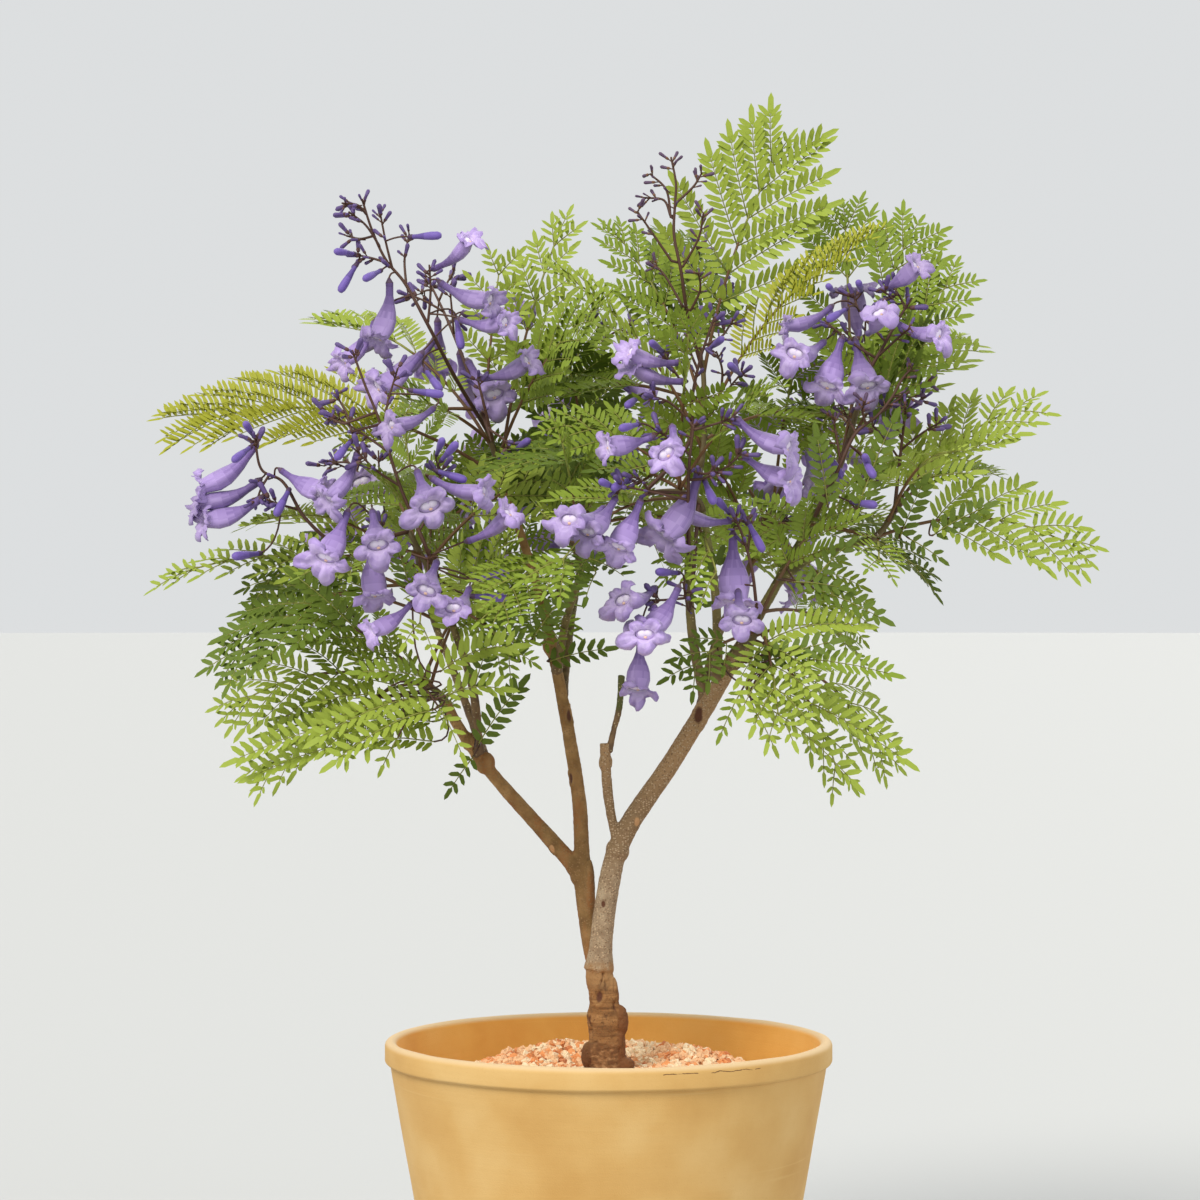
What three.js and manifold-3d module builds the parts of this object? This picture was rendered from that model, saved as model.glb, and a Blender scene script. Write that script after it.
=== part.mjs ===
import * as THREE from "three";
import { mergeVertices } from "three/addons/utils/BufferGeometryUtils.js";
import Module from "manifold-3d";

// A jacaranda kept as a bonsai, in flower, in a round clay pot filled with fine gravel.
// Millimetres, +Z up. The origin is the centre of the pot's underside, and the shown side faces -Y.

// Driving dimensions

const GAP = 0.3;
const UP = new THREE.Vector3(0, 0, 1);

const POT = {
  height: 170,
  baseRadius: 85,
  shoulderRadius: 111.4,
  rimRadius: 115,
  rimHeight: 13,
  mouthRadius: 108.5,
  floor: 12,
  floorRadius: 78.5,
  footRound: 2,
  drains: 3,
  drainRadius: 6,
  drainRing: 45,
  drainSides: 12,
  sides: 30,
  curveSteps: 2,
};

// The gravel is level round the foot of the trunk, falls to the pot's wall, is heaped up behind the
// trunk, and lies in lumps.
const SOIL = {
  level: 156,
  levelRadius: 27,
  edge: 143,
  heap: 7,
  heapReach: 0.8,
  rings: 7,
  lump: 1.6,
};
const FOOT_DEPTH = 5;

// The woody limbs: each grows from an older one along a few points, with its radius at foot and tip.
// The trunk's way starts a little below the gravel, where it is cut flat.
const LIMBS = [
  {
    name: "trunk",
    way: [[-1.5, -12, SOIL.level - FOOT_DEPTH], [-1.5, -11.5, 180], [-3.5, -10, 197], [-5, -9, 209]],
    radius: [9.6, 6.3],
  },
  {
    name: "right_bough",
    from: ["trunk"],
    way: [[-5, -9, 206], [-1.5, -8, 239.5], [6.4, -7, 272], [32, -8, 312], [53.6, -8, 347], [65, -8, 367]],
    radius: [6, 4.3],
  },
  {
    name: "left_stem",
    from: ["trunk", "right_bough"],
    way: [[-8, -5, 203], [-11.5, 5, 228], [-14, 9, 257]],
    radius: [5.3, 5],
  },
  {
    name: "left_bough",
    from: ["left_stem"],
    way: [[-14, 9, 254], [-35, 11, 277], [-64, 12, 310], [-80, 10, 334], [-84, 9, 343]],
    radius: [4.4, 2.7],
  },
  {
    name: "centre_bough",
    from: ["left_stem", "left_bough"],
    way: [[-13.5, 9, 253], [-15, 11, 289], [-22.4, 15, 336], [-35, 19, 395], [-53, 22, 452]],
    radius: [4.2, 2],
  },
  {
    name: "stub_bough",
    from: ["right_bough"],
    way: [[5, -7, 268], [0.5, -7, 290], [-1.4, -6, 309], [-1.8, -6, 322]],
    radius: [2.3, 2.9],
  },
  {
    name: "stub_shoot",
    from: ["stub_bough"],
    way: [[0, -6, 317], [2.5, -7, 328], [5.4, -8, 340], [6.7, -9, 357]],
    radius: [1.6, 1.9],
  },
  {
    name: "left_upright",
    from: ["left_bough"],
    way: [[-67, 12, 314], [-69.7, 0, 349], [-80, -18, 384]],
    radius: [2.7, 1.9],
  },
  {
    name: "left_back_bough",
    from: ["left_bough"],
    way: [[-62, 12, 308], [-74, 42, 338], [-92, 74, 380]],
    radius: [2.7, 1.9],
  },
  {
    name: "centre_front_bough",
    from: ["centre_bough"],
    way: [[-27, 16.5, 358], [-22, -8, 384], [-14, -38, 408]],
    radius: [2.6, 1.8],
  },
  {
    name: "centre_back_bough",
    from: ["centre_bough"],
    way: [[-24, 15.5, 345], [-20, 52, 382], [-14, 92, 420]],
    radius: [2.6, 1.8],
  },
  {
    name: "right_inner_bough",
    from: ["right_bough"],
    way: [[56, -8, 351], [54, -25, 400], [47, -36, 442]],
    radius: [2.9, 1.9],
  },
  {
    name: "right_upper_bough",
    from: ["right_bough"],
    way: [[50, -8, 341], [43, 4, 380], [42, 10, 430], [48, 15, 466]],
    radius: [2.9, 1.9],
  },
  {
    name: "right_outer_bough",
    from: ["right_bough"],
    way: [[64, -8, 365], [87, -7, 405], [110, -6, 446], [118, -5, 463]],
    radius: [3.3, 1.9],
  },
  {
    name: "right_side_bough",
    from: ["right_outer_bough"],
    way: [[88, -7, 406], [108, -14, 419], [131, -20, 425]],
    radius: [2.2, 1.7],
  },
  {
    name: "right_back_bough",
    from: ["right_bough"],
    way: [[46, -8, 335], [56, 34, 372], [75, 88, 410]],
    radius: [2.7, 1.9],
  },
  {
    name: "right_low_bough",
    from: ["right_bough"],
    way: [[60, -8, 358], [67, -24, 364], [72, -36, 374]],
    radius: [2.4, 1.8],
  },
];

// Swellings on the trunk: centre, then half-size across, back and up.
const TRUNK_BURLS = [
  { at: [7, -13, 181], size: [4.2, 4.4, 6.5] },
  { at: [-9.5, -14, 164.5], size: [5, 5, 4.5] },
  { at: [8, -15, 160.5], size: [7, 6, 4] },
  { at: [0, -3, 164.5], size: [6, 7, 4.5] },
];
// The foot of the trunk widens by this share of its radius, most of it in the lowest part.
const TRUNK_FLARE = 0.3;
const FLARE_POWER = 6;

// How finely limbs are made: the length of a step, and the sides of thick, middling and thin ones.
const LIMB_STEP = 26;
const FEWEST_STEPS = 3;
const LIMB_SIDES = [
  { above: 5, sides: 9 },
  { above: 3, sides: 7 },
  { above: 0, sides: 5 },
];

// The leaf rule: one thin blade along an arching midrib, cut to the rib between its pairs of side
// leaflets, which get shorter and closer to the rib towards the tip.
const FROND = {
  length: 118,
  arch: 0.13,
  ribHalfWidth: 0.6,
  thickness: 1.4,
  pairs: 5,
  firstPair: 0.32,
  lastPair: 0.8,
  endLobe: 0.88,
  lobeShare: 0.34,
  lobeTaper: 0.45,
  wideAngle: 66,
  closeAngle: 44,
  frontLean: 0.75,
  frontDepth: 45,
  roll: 22,
  climb: 18,
  climbSpread: 34,
  shortest: 0.85,
  lengthSpread: 0.2,
  trims: [1, 0.75, 0.5],
};

// The flower rule: trumpets and buds on short stalks up a slim flowering stem.
const FLOWER = {
  length: 42,
  neckRadius: 2.1,
  neckLength: 9,
  bodyRadius: 7.6,
  bodyLength: 31,
  lipRadius: 12.5,
  throatDepth: 6,
  lobes: 5,
  firstFlower: 0.34,
  droop: 0.75,
  leastDroop: 0.4,
  frontLean: 0.5,
  apart: 24,
  turns: 9,
  bow: 0.08,
  fewBuds: 4,
  budLength: 18,
  budWidth: 5,
  firstBud: 0.62,
  budRise: 0.5,
  budRiseSpread: 0.6,
  stemRadius: [1.1, 0.7],
  stemSides: 3,
  stemSteps: 4,
};

const SHOOT = {
  radius: [1.7, 1.4],
  sides: 4,
  steps: 4,
  entry: 2,
  bend: 0.35,
  firstFrond: 0.2,
  frondStride: 3,
};
const CLEARANCE = 0.35;
const GOLDEN_ANGLE = THREE.MathUtils.degToRad(137.5);

// The numbers that keep each mass's, leaf's and flowering stem's chances apart, and what each draw is for.
const SEED = { massLeaves: 100, massStems: 1000, stem: 7 };
const DRAW = { roll: 1, climb: 2, length: 3, flowers: 10, buds: 40 };

// The room that the crown fills, as an ellipsoid.
const CROWN = {
  centre: new THREE.Vector3(8, 15, 465),
  half: new THREE.Vector3(243, 205, 184),
};

// The foliage: each mass grows from a bough's tip on one shoot that runs to its own tip. The leading
// leaves reach the tips given here, some with a breadth of their own, and the rest fill in between.
// A panicle is a flowering stem: where it starts on the shoot, where it ends, its flowers and its buds.
const MASSES = [
  {
    name: "foliage_left_low",
    bough: "left_bough",
    shoot: [-98, 3, 354],
    tips: [[-186, -20, 300], [-206, 12, 336], [-138, -72, 318], [-90, -66, 325]],
    fill: 2,
    panicles: [],
  },
  {
    name: "foliage_left_side",
    bough: "left_upright",
    shoot: [-101, -30, 430],
    tips: [[-236, -25, 405], [-200, -48, 356], [-150, -110, 392], [-36, -42, 350], [-92, -120, 372]],
    fill: 2,
    panicles: [
      { start: 1, end: [-188, -42, 468], flowers: 6, buds: 3 },
      { start: 0.8, end: [-124, -74, 448], flowers: 5, buds: 0 },
      { start: 0.5, end: [-88, -72, 424], flowers: 2, buds: 0 },
    ],
  },
  {
    name: "foliage_left_top",
    bough: "centre_bough",
    shoot: [-68, 12, 500],
    tips: [[-231, -15, 482], [-158, 80, 552], [-52, 25, 602], [-24, 32, 614], [-140, -70, 486]],
    fill: 2,
    panicles: [
      { start: 0.7, end: [-130, -16, 600], flowers: 6, buds: 10 },
      { start: 1, end: [-74, -18, 570], flowers: 5, buds: 2 },
      { start: 0.1, end: [-74, -48, 464], flowers: 3, buds: 0 },
    ],
  },
  {
    name: "foliage_middle",
    bough: "centre_front_bough",
    shoot: [-34, -56, 444],
    tips: [[-58, -142, 382], [0, -112, 388], [-26, -84, 486], [-42, -124, 432]],
    fill: 1,
    panicles: [],
  },
  {
    name: "foliage_inner",
    bough: "right_inner_bough",
    shoot: [17, -56, 448],
    tips: [[-34, -136, 400], [64, -132, 352], [-40, -40, 486], [40, -104, 540]],
    fill: 1,
    panicles: [
      { start: 0.6, end: [-14, -74, 450], flowers: 5, buds: 2 },
      { start: 1, end: [22, -62, 520], flowers: 4, buds: 5 },
      { start: 0.5, end: [22, -92, 416], flowers: 3, buds: 0 },
    ],
  },
  {
    name: "foliage_inner_top",
    bough: "right_upper_bough",
    shoot: [49, 18, 520],
    tips: [[-34, 0, 582], [-4, 34, 611], [83, 15, 647, 1.3], [142, -22, 591], [34, 90, 600]],
    fill: 2,
    panicles: [
      { start: 0.9, end: [27, 2, 622], flowers: 0, buds: 14 },
      { start: 0.6, end: [82, -42, 494], flowers: 3, buds: 2 },
    ],
  },
  {
    name: "foliage_right_top",
    bough: "right_outer_bough",
    shoot: [129, -9, 502],
    tips: [[163, 22, 599], [189, 10, 570], [196, 66, 538], [124, 44, 610]],
    fill: 1,
    panicles: [
      { start: 0.6, end: [104, -48, 540], flowers: 4, buds: 2 },
      { start: 1, end: [154, -26, 572], flowers: 4, buds: 5 },
    ],
  },
  {
    name: "foliage_right_side",
    bough: "right_side_bough",
    shoot: [145, -25, 440],
    tips: [[251, -22, 417], [227, -8, 501], [206, 44, 462], [132, -94, 396], [172, -104, 470]],
    fill: 1,
    panicles: [{ start: 1, end: [150, -34, 492], flowers: 0, buds: 7 }],
  },
  {
    name: "foliage_right_low",
    bough: "right_low_bough",
    shoot: [76, -46, 392],
    tips: [
      [150, -8, 302], [120, -48, 294], [148, 34, 354],
      [28, -72, 344], [84, -96, 326], [138, -60, 372],
    ],
    fill: 0,
    panicles: [{ start: 1, end: [66, -74, 440], flowers: 4, buds: 2 }],
  },
  {
    name: "foliage_left_back",
    bough: "left_back_bough",
    shoot: [-105, 102, 424],
    tips: [[-202, 104, 384], [-160, 190, 440], [-82, 214, 430], [-120, 150, 520]],
    fill: 3,
    panicles: [{ start: 1, end: [-148, 136, 476], flowers: 5, buds: 4 }],
  },
  {
    name: "foliage_middle_back",
    bough: "centre_back_bough",
    shoot: [-10, 114, 468],
    tips: [[-18, 130, 566], [-46, 176, 530], [22, 216, 476], [-30, 206, 404]],
    fill: 3,
    panicles: [{ start: 1, end: [0, 146, 548], flowers: 5, buds: 5 }],
  },
  {
    name: "foliage_right_back",
    bough: "right_back_bough",
    shoot: [92, 114, 450],
    tips: [[208, 116, 476], [162, 186, 440], [96, 218, 470], [156, 110, 368], [64, 196, 392]],
    fill: 3,
    panicles: [{ start: 1, end: [128, 140, 520], flowers: 5, buds: 4 }],
  },
];

const FINISH = {
  clay: { color: 0xdcae6c, roughness: 0.7, metalness: 0 },
  gravel: { color: 0xd79a72, roughness: 0.95, metalness: 0 },
  bark: { color: 0x8b6f57, roughness: 0.9, metalness: 0 },
  foliage: { color: 0x6f8a3a, roughness: 0.6, metalness: 0 },
};

// Solids

const wasm = await Module();
wasm.setup();
const { Manifold, Mesh } = wasm;

const vector = (values) => new THREE.Vector3(values[0], values[1], values[2]);

function solidOf(geometry) {
  geometry.deleteAttribute("normal");
  geometry.deleteAttribute("uv");
  const merged = mergeVertices(geometry);
  const corners = merged.index.array;
  const kept = [];
  for (let i = 0; i < corners.length; i += 3) {
    const [a, b, c] = [corners[i], corners[i + 1], corners[i + 2]];
    if (a !== b && b !== c && c !== a) {
      kept.push(a, b, c);
    }
  }
  const mesh = new Mesh({
    numProp: 3,
    vertProperties: Float32Array.from(merged.attributes.position.array),
    triVerts: Uint32Array.from(kept),
  });
  return new Manifold(mesh);
}

function geometryOf(solid) {
  const mesh = solid.getMesh();
  const geometry = new THREE.BufferGeometry();
  geometry.setAttribute("position", new THREE.BufferAttribute(mesh.vertProperties, 3));
  geometry.setIndex(new THREE.BufferAttribute(mesh.triVerts, 1));
  geometry.computeVertexNormals();
  return geometry;
}

// Fusing can leave a loose scrap or seal a hollow: only the outer skin of the largest body is kept.
function oneBody(solid) {
  const bodies = solid.decompose();
  return bodies.reduce((best, body) => (body.volume() > best.volume() ? body : best));
}

// A round limb along a curve. swell makes it that much larger all round, ends included.
function limbSolid(curve, radiusAt, sides, steps, swell = 0) {
  const shape = new THREE.CylinderGeometry(1, 1, 1, sides, steps);
  const frames = curve.computeFrenetFrames(steps, false);
  const middles = curve.getSpacedPoints(steps);
  const corners = shape.attributes.position;
  const place = new THREE.Vector3();
  for (let i = 0; i < corners.count; i += 1) {
    const step = Math.round((corners.getY(i) + 0.5) * steps);
    const radius = radiusAt(step / steps) + swell;
    place.copy(middles[step]);
    place.addScaledVector(frames.normals[step], corners.getX(i) * radius);
    place.addScaledVector(frames.binormals[step], -corners.getZ(i) * radius);
    if (step === 0) {
      place.addScaledVector(frames.tangents[step], -swell);
    }
    if (step === steps) {
      place.addScaledVector(frames.tangents[step], swell);
    }
    corners.setXYZ(i, place.x, place.y, place.z);
  }
  return solidOf(shape);
}

const tapering = ([foot, tip]) => (t) => THREE.MathUtils.lerp(foot, tip, t);

// Pot and gravel

const mouthLevel = POT.height - (POT.rimRadius - POT.mouthRadius) / 2;
const innerRadius = (z) =>
  THREE.MathUtils.mapLinear(z, POT.floor, mouthLevel, POT.floorRadius, POT.mouthRadius);

// Even, repeatable chance from 0 to 1 for a numbered thing.
function chance(seed, draw) {
  const wave = Math.sin(seed * 12.9898 + draw * 78.233) * 43758.5453;
  return wave - Math.floor(wave);
}
const either = (seed, draw) => 2 * chance(seed, draw) - 1;

function turned(path) {
  const shape = new THREE.LatheGeometry(path.getPoints(POT.curveSteps), POT.sides);
  return shape.rotateX(Math.PI / 2);
}

function potSolid() {
  const shoulder = POT.height - POT.rimHeight;
  const lipRadius = (POT.rimRadius - POT.mouthRadius) / 2;
  const path = new THREE.Path();
  path.moveTo(0, 0);
  path.lineTo(POT.baseRadius - POT.footRound, 0);
  path.lineTo(POT.baseRadius, POT.footRound);
  path.lineTo(POT.shoulderRadius, shoulder);
  path.lineTo(POT.rimRadius, shoulder + POT.footRound);
  path.lineTo(POT.rimRadius, mouthLevel);
  path.absarc(POT.rimRadius - lipRadius, mouthLevel, lipRadius, 0, Math.PI, false);
  path.lineTo(POT.floorRadius, POT.floor);
  path.lineTo(0, POT.floor);
  let pot = solidOf(turned(path));
  for (let i = 0; i < POT.drains; i += 1) {
    const turn = (2 * Math.PI * i) / POT.drains;
    const drain = new THREE.CylinderGeometry(
      POT.drainRadius,
      POT.drainRadius,
      3 * POT.floor,
      POT.drainSides,
    );
    drain.rotateX(Math.PI / 2);
    drain.translate(POT.drainRing * Math.cos(turn), POT.drainRing * Math.sin(turn), 0);
    pot = pot.subtract(solidOf(drain));
  }
  return pot;
}

// How high the gravel is heaped up above its plain fall, by the share of the way out to the wall and
// by how far a place is behind the trunk: 1 straight behind it and -1 straight in front.
function heapHeight(out, behind) {
  const swell = Math.sin(Math.PI * Math.min(1, out / SOIL.heapReach));
  return SOIL.heap * swell * THREE.MathUtils.smoothstep(behind, -0.3, 0.9);
}

// The soil's profile runs up the pot's wall and then in rings to its level middle. Between them each
// corner is lifted by the heap, and lifted or sunk by chance, by ring and by place round the ring.
function soilSolid() {
  const path = new THREE.Path();
  const bottom = POT.floor + GAP;
  const edgeRadius = innerRadius(SOIL.edge) - GAP;
  path.moveTo(0, bottom);
  path.lineTo(innerRadius(bottom) - GAP, bottom);
  for (let ring = 0; ring <= SOIL.rings; ring += 1) {
    const out = 1 - ring / SOIL.rings;
    const radius = THREE.MathUtils.lerp(SOIL.levelRadius, edgeRadius, out);
    path.lineTo(radius, THREE.MathUtils.lerp(SOIL.level, SOIL.edge, out * out));
  }
  path.lineTo(0, SOIL.level);
  const shape = turned(path);
  const corners = shape.attributes.position;
  const inColumn = corners.count / (POT.sides + 1);
  const edgeCorner = 2;
  for (let i = 0; i < corners.count; i += 1) {
    const ring = (i % inColumn) - edgeCorner;
    const column = Math.floor(i / inColumn) % POT.sides;
    if (ring > 0 && ring < SOIL.rings) {
      const behind = corners.getY(i) / Math.hypot(corners.getX(i), corners.getY(i));
      const rise = heapHeight(1 - ring / SOIL.rings, behind) + SOIL.lump * either(ring, column);
      corners.setZ(i, corners.getZ(i) + rise);
    }
  }
  return solidOf(shape);
}

// Limbs

function limbParts(limb) {
  const curve = new THREE.CatmullRomCurve3(limb.way.map(vector));
  const flare = limb.from ? 0 : TRUNK_FLARE;
  const [foot] = limb.radius;
  const radiusAt = (t) => tapering(limb.radius)(t) + foot * flare * (1 - t) ** FLARE_POWER;
  const steps = Math.max(FEWEST_STEPS, Math.round(curve.getLength() / LIMB_STEP));
  const { sides } = LIMB_SIDES.find(({ above }) => foot > above);
  return {
    curve,
    solid: limbSolid(curve, radiusAt, sides, steps),
    sheath: limbSolid(curve, radiusAt, sides, steps, GAP),
  };
}

// The trunk with its swellings, cut flat just above the gravel.
function trunkSolid(stem) {
  let solid = stem;
  for (const burl of TRUNK_BURLS) {
    const lump = new THREE.IcosahedronGeometry(1, 0);
    lump.scale(...burl.size);
    lump.translate(...burl.at);
    solid = solid.add(solidOf(lump));
  }
  return solid.trimByPlane([0, 0, 1], SOIL.level + GAP);
}

// Foliage

// Every solid that stands already, with the node that it belongs to and what it is there.
const standing = [];

function stand(owner, kind, solid) {
  standing.push({ owner, kind, solid, box: solid.boundingBox() });
}

function isClear(solid, ignored) {
  const box = solid.boundingBox();
  return standing.every((other) => {
    const near = [0, 1, 2].every(
      (axis) =>
        box.min[axis] - CLEARANCE < other.box.max[axis] && box.max[axis] + CLEARANCE > other.box.min[axis],
    );
    return !near || ignored(other) || solid.minGap(other.solid, CLEARANCE) >= CLEARANCE;
  });
}

// The outline of a leaf laid flat, from its foot at the origin to its tip along +X.
function frondOutline(length, breadth) {
  const rib = FROND.ribHalfWidth;
  const edge = [[0, rib]];
  for (let pair = 0; pair < FROND.pairs; pair += 1) {
    const s = pair / (FROND.pairs - 1);
    const turn = THREE.MathUtils.degToRad(THREE.MathUtils.lerp(FROND.wideAngle, FROND.closeAngle, s));
    const root = length * THREE.MathUtils.lerp(FROND.firstPair, FROND.lastPair, s);
    const reach = length * FROND.lobeShare * breadth * (1 - FROND.lobeTaper * s * s);
    edge.push([root, rib], [root + reach * Math.cos(turn), rib + reach * Math.sin(turn)]);
  }
  edge.push([length * FROND.endLobe, rib]);
  const far = edge.map(([x, y]) => [x, -y]).reverse();
  const points = [...edge, [length, 0], ...far];
  return new THREE.Shape(points.map(([x, y]) => new THREE.Vector2(x, y)));
}

// One leaf: its midrib arches from the shoot to its tip, and its face leans to the light and outwards.
function frondSolid(base, tip, breadth, seed) {
  const reach = tip.clone().sub(base);
  const length = reach.length();
  const lift = UP.clone().projectOnPlane(reach.clone().normalize()).multiplyScalar(2 * FROND.arch * length);
  const middle = base.clone().lerp(tip, 0.5).add(lift);
  const rib = new THREE.QuadraticBezierCurve3(base, middle, tip);
  const front = middle.y < FROND.frontDepth ? -1 : 1;
  const light = new THREE.Vector3(0, FROND.frontLean * front, 1);
  const roll = THREE.MathUtils.degToRad(FROND.roll * either(seed, DRAW.roll));
  light.applyAxisAngle(reach.clone().normalize(), roll);
  const shape = new THREE.ExtrudeGeometry(frondOutline(length, breadth), {
    depth: FROND.thickness,
    bevelEnabled: false,
    steps: 1,
  });
  const corners = shape.attributes.position;
  for (let i = 0; i < corners.count; i += 1) {
    const t = corners.getX(i) / length;
    const along = rib.getTangent(t);
    const side = light.clone().cross(along).normalize();
    const face = along.clone().cross(side);
    const place = rib.getPoint(t);
    place.addScaledVector(side, corners.getY(i));
    place.addScaledVector(face, corners.getZ(i) - FROND.thickness / 2);
    corners.setXYZ(i, place.x, place.y, place.z);
  }
  return solidOf(shape);
}

// A trumpet flower, from its stalk at the foot to five lobes at the mouth.
function flowerSolid(foot, heading) {
  const profile = [
    new THREE.Vector2(0, 0),
    new THREE.Vector2(FLOWER.neckRadius, FLOWER.neckLength),
    new THREE.Vector2(FLOWER.bodyRadius, FLOWER.bodyLength),
    new THREE.Vector2(FLOWER.lipRadius, FLOWER.length),
    new THREE.Vector2(0, FLOWER.length - FLOWER.throatDepth),
  ];
  const shape = new THREE.LatheGeometry(profile, FLOWER.lobes);
  shape.applyQuaternion(new THREE.Quaternion().setFromUnitVectors(new THREE.Vector3(0, 1, 0), heading));
  shape.translate(foot.x, foot.y, foot.z);
  return solidOf(shape);
}

// A closed flower bud of eight faces, pointed at foot and tip.
function budSolid(foot, tip, side) {
  const along = tip.clone().sub(foot).multiplyScalar(0.5);
  const across = side.clone().setLength(FLOWER.budWidth / 2);
  const through = along.clone().cross(across).setLength(FLOWER.budWidth / 2);
  const place = new THREE.Matrix4().makeBasis(along, across, through);
  place.setPosition(foot.clone().add(along));
  return solidOf(new THREE.OctahedronGeometry(1).applyMatrix4(place));
}

// A foliage mass while it grows: its shoot, and what stands on it so far.
function startMass(mass, number) {
  const limb = limbs.get(mass.bough);
  const start = limb.curve.getPoint(1);
  const heading = limb.curve.getTangent(1);
  const end = vector(mass.shoot);
  const entry = start.clone().addScaledVector(heading, -SHOOT.entry);
  const ahead = start.clone().addScaledVector(heading, SHOOT.bend * start.distanceTo(end));
  const shoot = new THREE.QuadraticBezierCurve3(entry, ahead, end);
  const stem = limbSolid(shoot, tapering(SHOOT.radius), SHOOT.sides, SHOOT.steps);
  const solid = oneBody(stem.subtract(limb.sheath));
  stand(mass.name, "stem", solid);
  return { mass, number, shoot, pieces: [solid] };
}

// A leaf that would touch another mass or a limb is made narrower, or left out if that isn't enough.
function addFrond(growth, i, tip, breadth) {
  const { mass, number, shoot, pieces } = growth;
  const fronds = mass.tips.length + mass.fill;
  const share = ((i * SHOOT.frondStride) % fronds) / fronds;
  const base = shoot.getPoint(THREE.MathUtils.lerp(SHOOT.firstFrond, 1, share));
  const seed = SEED.massLeaves * (number + 1) + i;
  const end = tip ?? fillTip(base, seed);
  if (!tip && !insideCrown(end)) {
    return;
  }
  const own = (other) => other.owner === mass.name;
  const ownStem = (other) => own(other) && other.kind === "stem";
  for (const ignored of [ownStem, own]) {
    for (const trim of FROND.trims) {
      const solid = frondSolid(base, end, breadth * trim, seed);
      if (isClear(solid, ignored)) {
        pieces.push(solid);
        stand(mass.name, "leaf", solid);
        return;
      }
    }
  }
}

// Where a leaf with no tip of its own ends: round the shoot by the golden angle, more or less steep.
function fillTip(base, seed) {
  const bearing = seed * GOLDEN_ANGLE;
  const climb = THREE.MathUtils.degToRad(FROND.climb + FROND.climbSpread * either(seed, DRAW.climb));
  const length = FROND.length * (FROND.shortest + FROND.lengthSpread * chance(seed, DRAW.length));
  const heading = new THREE.Vector3(Math.cos(bearing), Math.sin(bearing), Math.tan(climb)).normalize();
  return base.clone().addScaledVector(heading, length);
}

const insideCrown = (point) => point.clone().sub(CROWN.centre).divide(CROWN.half).length() < 1;

// The way out from a stem at a turn round it, as a unit vector.
function outward(stem, turn) {
  const first = new THREE.Vector3(0, -1, 0).projectOnPlane(stem).normalize();
  return first.applyAxisAngle(stem, turn);
}

// Where every open flower's mouth is, so that later ones turn away from them.
const mouths = [];

// A flowering stem: flowers up its lower part, each turned to a free side, and buds up to its tip.
function addPanicle(growth, panicle, i) {
  const { mass, number, shoot, pieces } = growth;
  const seed = SEED.massStems * (number + 1) + SEED.stem * i;
  const base = shoot.getPoint(panicle.start);
  const end = vector(panicle.end);
  const stem = end.clone().sub(base).normalize();
  const bow = UP.clone().projectOnPlane(stem).multiplyScalar(FLOWER.bow * base.distanceTo(end));
  const axis = new THREE.QuadraticBezierCurve3(base, base.clone().lerp(end, 0.5).add(bow), end);
  const ownWood = (other) => other.owner === mass.name && other.kind !== "leaf";
  const own = (other) => other.owner === mass.name;
  const axisSolid = limbSolid(axis, tapering(FLOWER.stemRadius), FLOWER.stemSides, FLOWER.stemSteps);
  if (!isClear(axisSolid, own)) {
    return;
  }
  pieces.push(axisSolid);
  stand(mass.name, "stem", axisSolid);
  const front = end.y < FROND.frontDepth ? -1 : 1;
  const last = panicle.buds > FLOWER.fewBuds ? FLOWER.firstBud : 1;
  for (let flower = 0; flower < panicle.flowers; flower += 1) {
    const t = THREE.MathUtils.lerp(FLOWER.firstFlower, last, (flower + 0.5) / panicle.flowers);
    const foot = axis.getPoint(t);
    for (let turn = 0; turn < FLOWER.turns; turn += 1) {
      const heading = outward(stem, (flower + turn) * GOLDEN_ANGLE + seed);
      heading.z -= FLOWER.droop * (FLOWER.leastDroop + chance(seed, DRAW.flowers + flower));
      heading.y += FLOWER.frontLean * front;
      heading.normalize();
      const mouth = foot.clone().addScaledVector(heading, FLOWER.length);
      const solid = flowerSolid(foot, heading);
      const apart = mouths.every((other) => other.distanceTo(mouth) > FLOWER.apart);
      if (apart && isClear(solid, ownWood)) {
        mouths.push(mouth);
        pieces.push(solid);
        stand(mass.name, "blossom", solid);
        break;
      }
    }
  }
  for (let bud = 0; bud < panicle.buds; bud += 1) {
    const t = THREE.MathUtils.lerp(FLOWER.firstBud, 1, (bud + 0.5) / panicle.buds);
    const heading = outward(stem, bud * GOLDEN_ANGLE + seed);
    heading.z += FLOWER.budRise + FLOWER.budRiseSpread * either(seed, DRAW.buds + bud);
    heading.normalize();
    const foot = axis.getPoint(t);
    const tip = foot.clone().addScaledVector(heading, FLOWER.budLength);
    const solid = budSolid(foot, tip, heading.clone().cross(stem));
    if (isClear(solid, ownWood)) {
      pieces.push(solid);
      stand(mass.name, "blossom", solid);
    }
  }
}

// Assembly

const plant = new THREE.Group();

function addNode(name, solid, finish) {
  const mesh = new THREE.Mesh(geometryOf(solid), new THREE.MeshStandardMaterial(finish));
  mesh.name = name;
  plant.add(mesh);
}

addNode("pot", potSolid(), FINISH.clay);
addNode("soil", soilSolid(), FINISH.gravel);

const limbs = new Map();
for (const limb of LIMBS) {
  const parts = limbParts(limb);
  let solid = limb.from ? parts.solid : trunkSolid(parts.solid);
  for (const older of limb.from ?? []) {
    solid = solid.subtract(limbs.get(older).sheath);
  }
  solid = oneBody(solid);
  limbs.set(limb.name, parts);
  stand(limb.name, "limb", solid);
  addNode(limb.name, solid, FINISH.bark);
}

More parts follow.
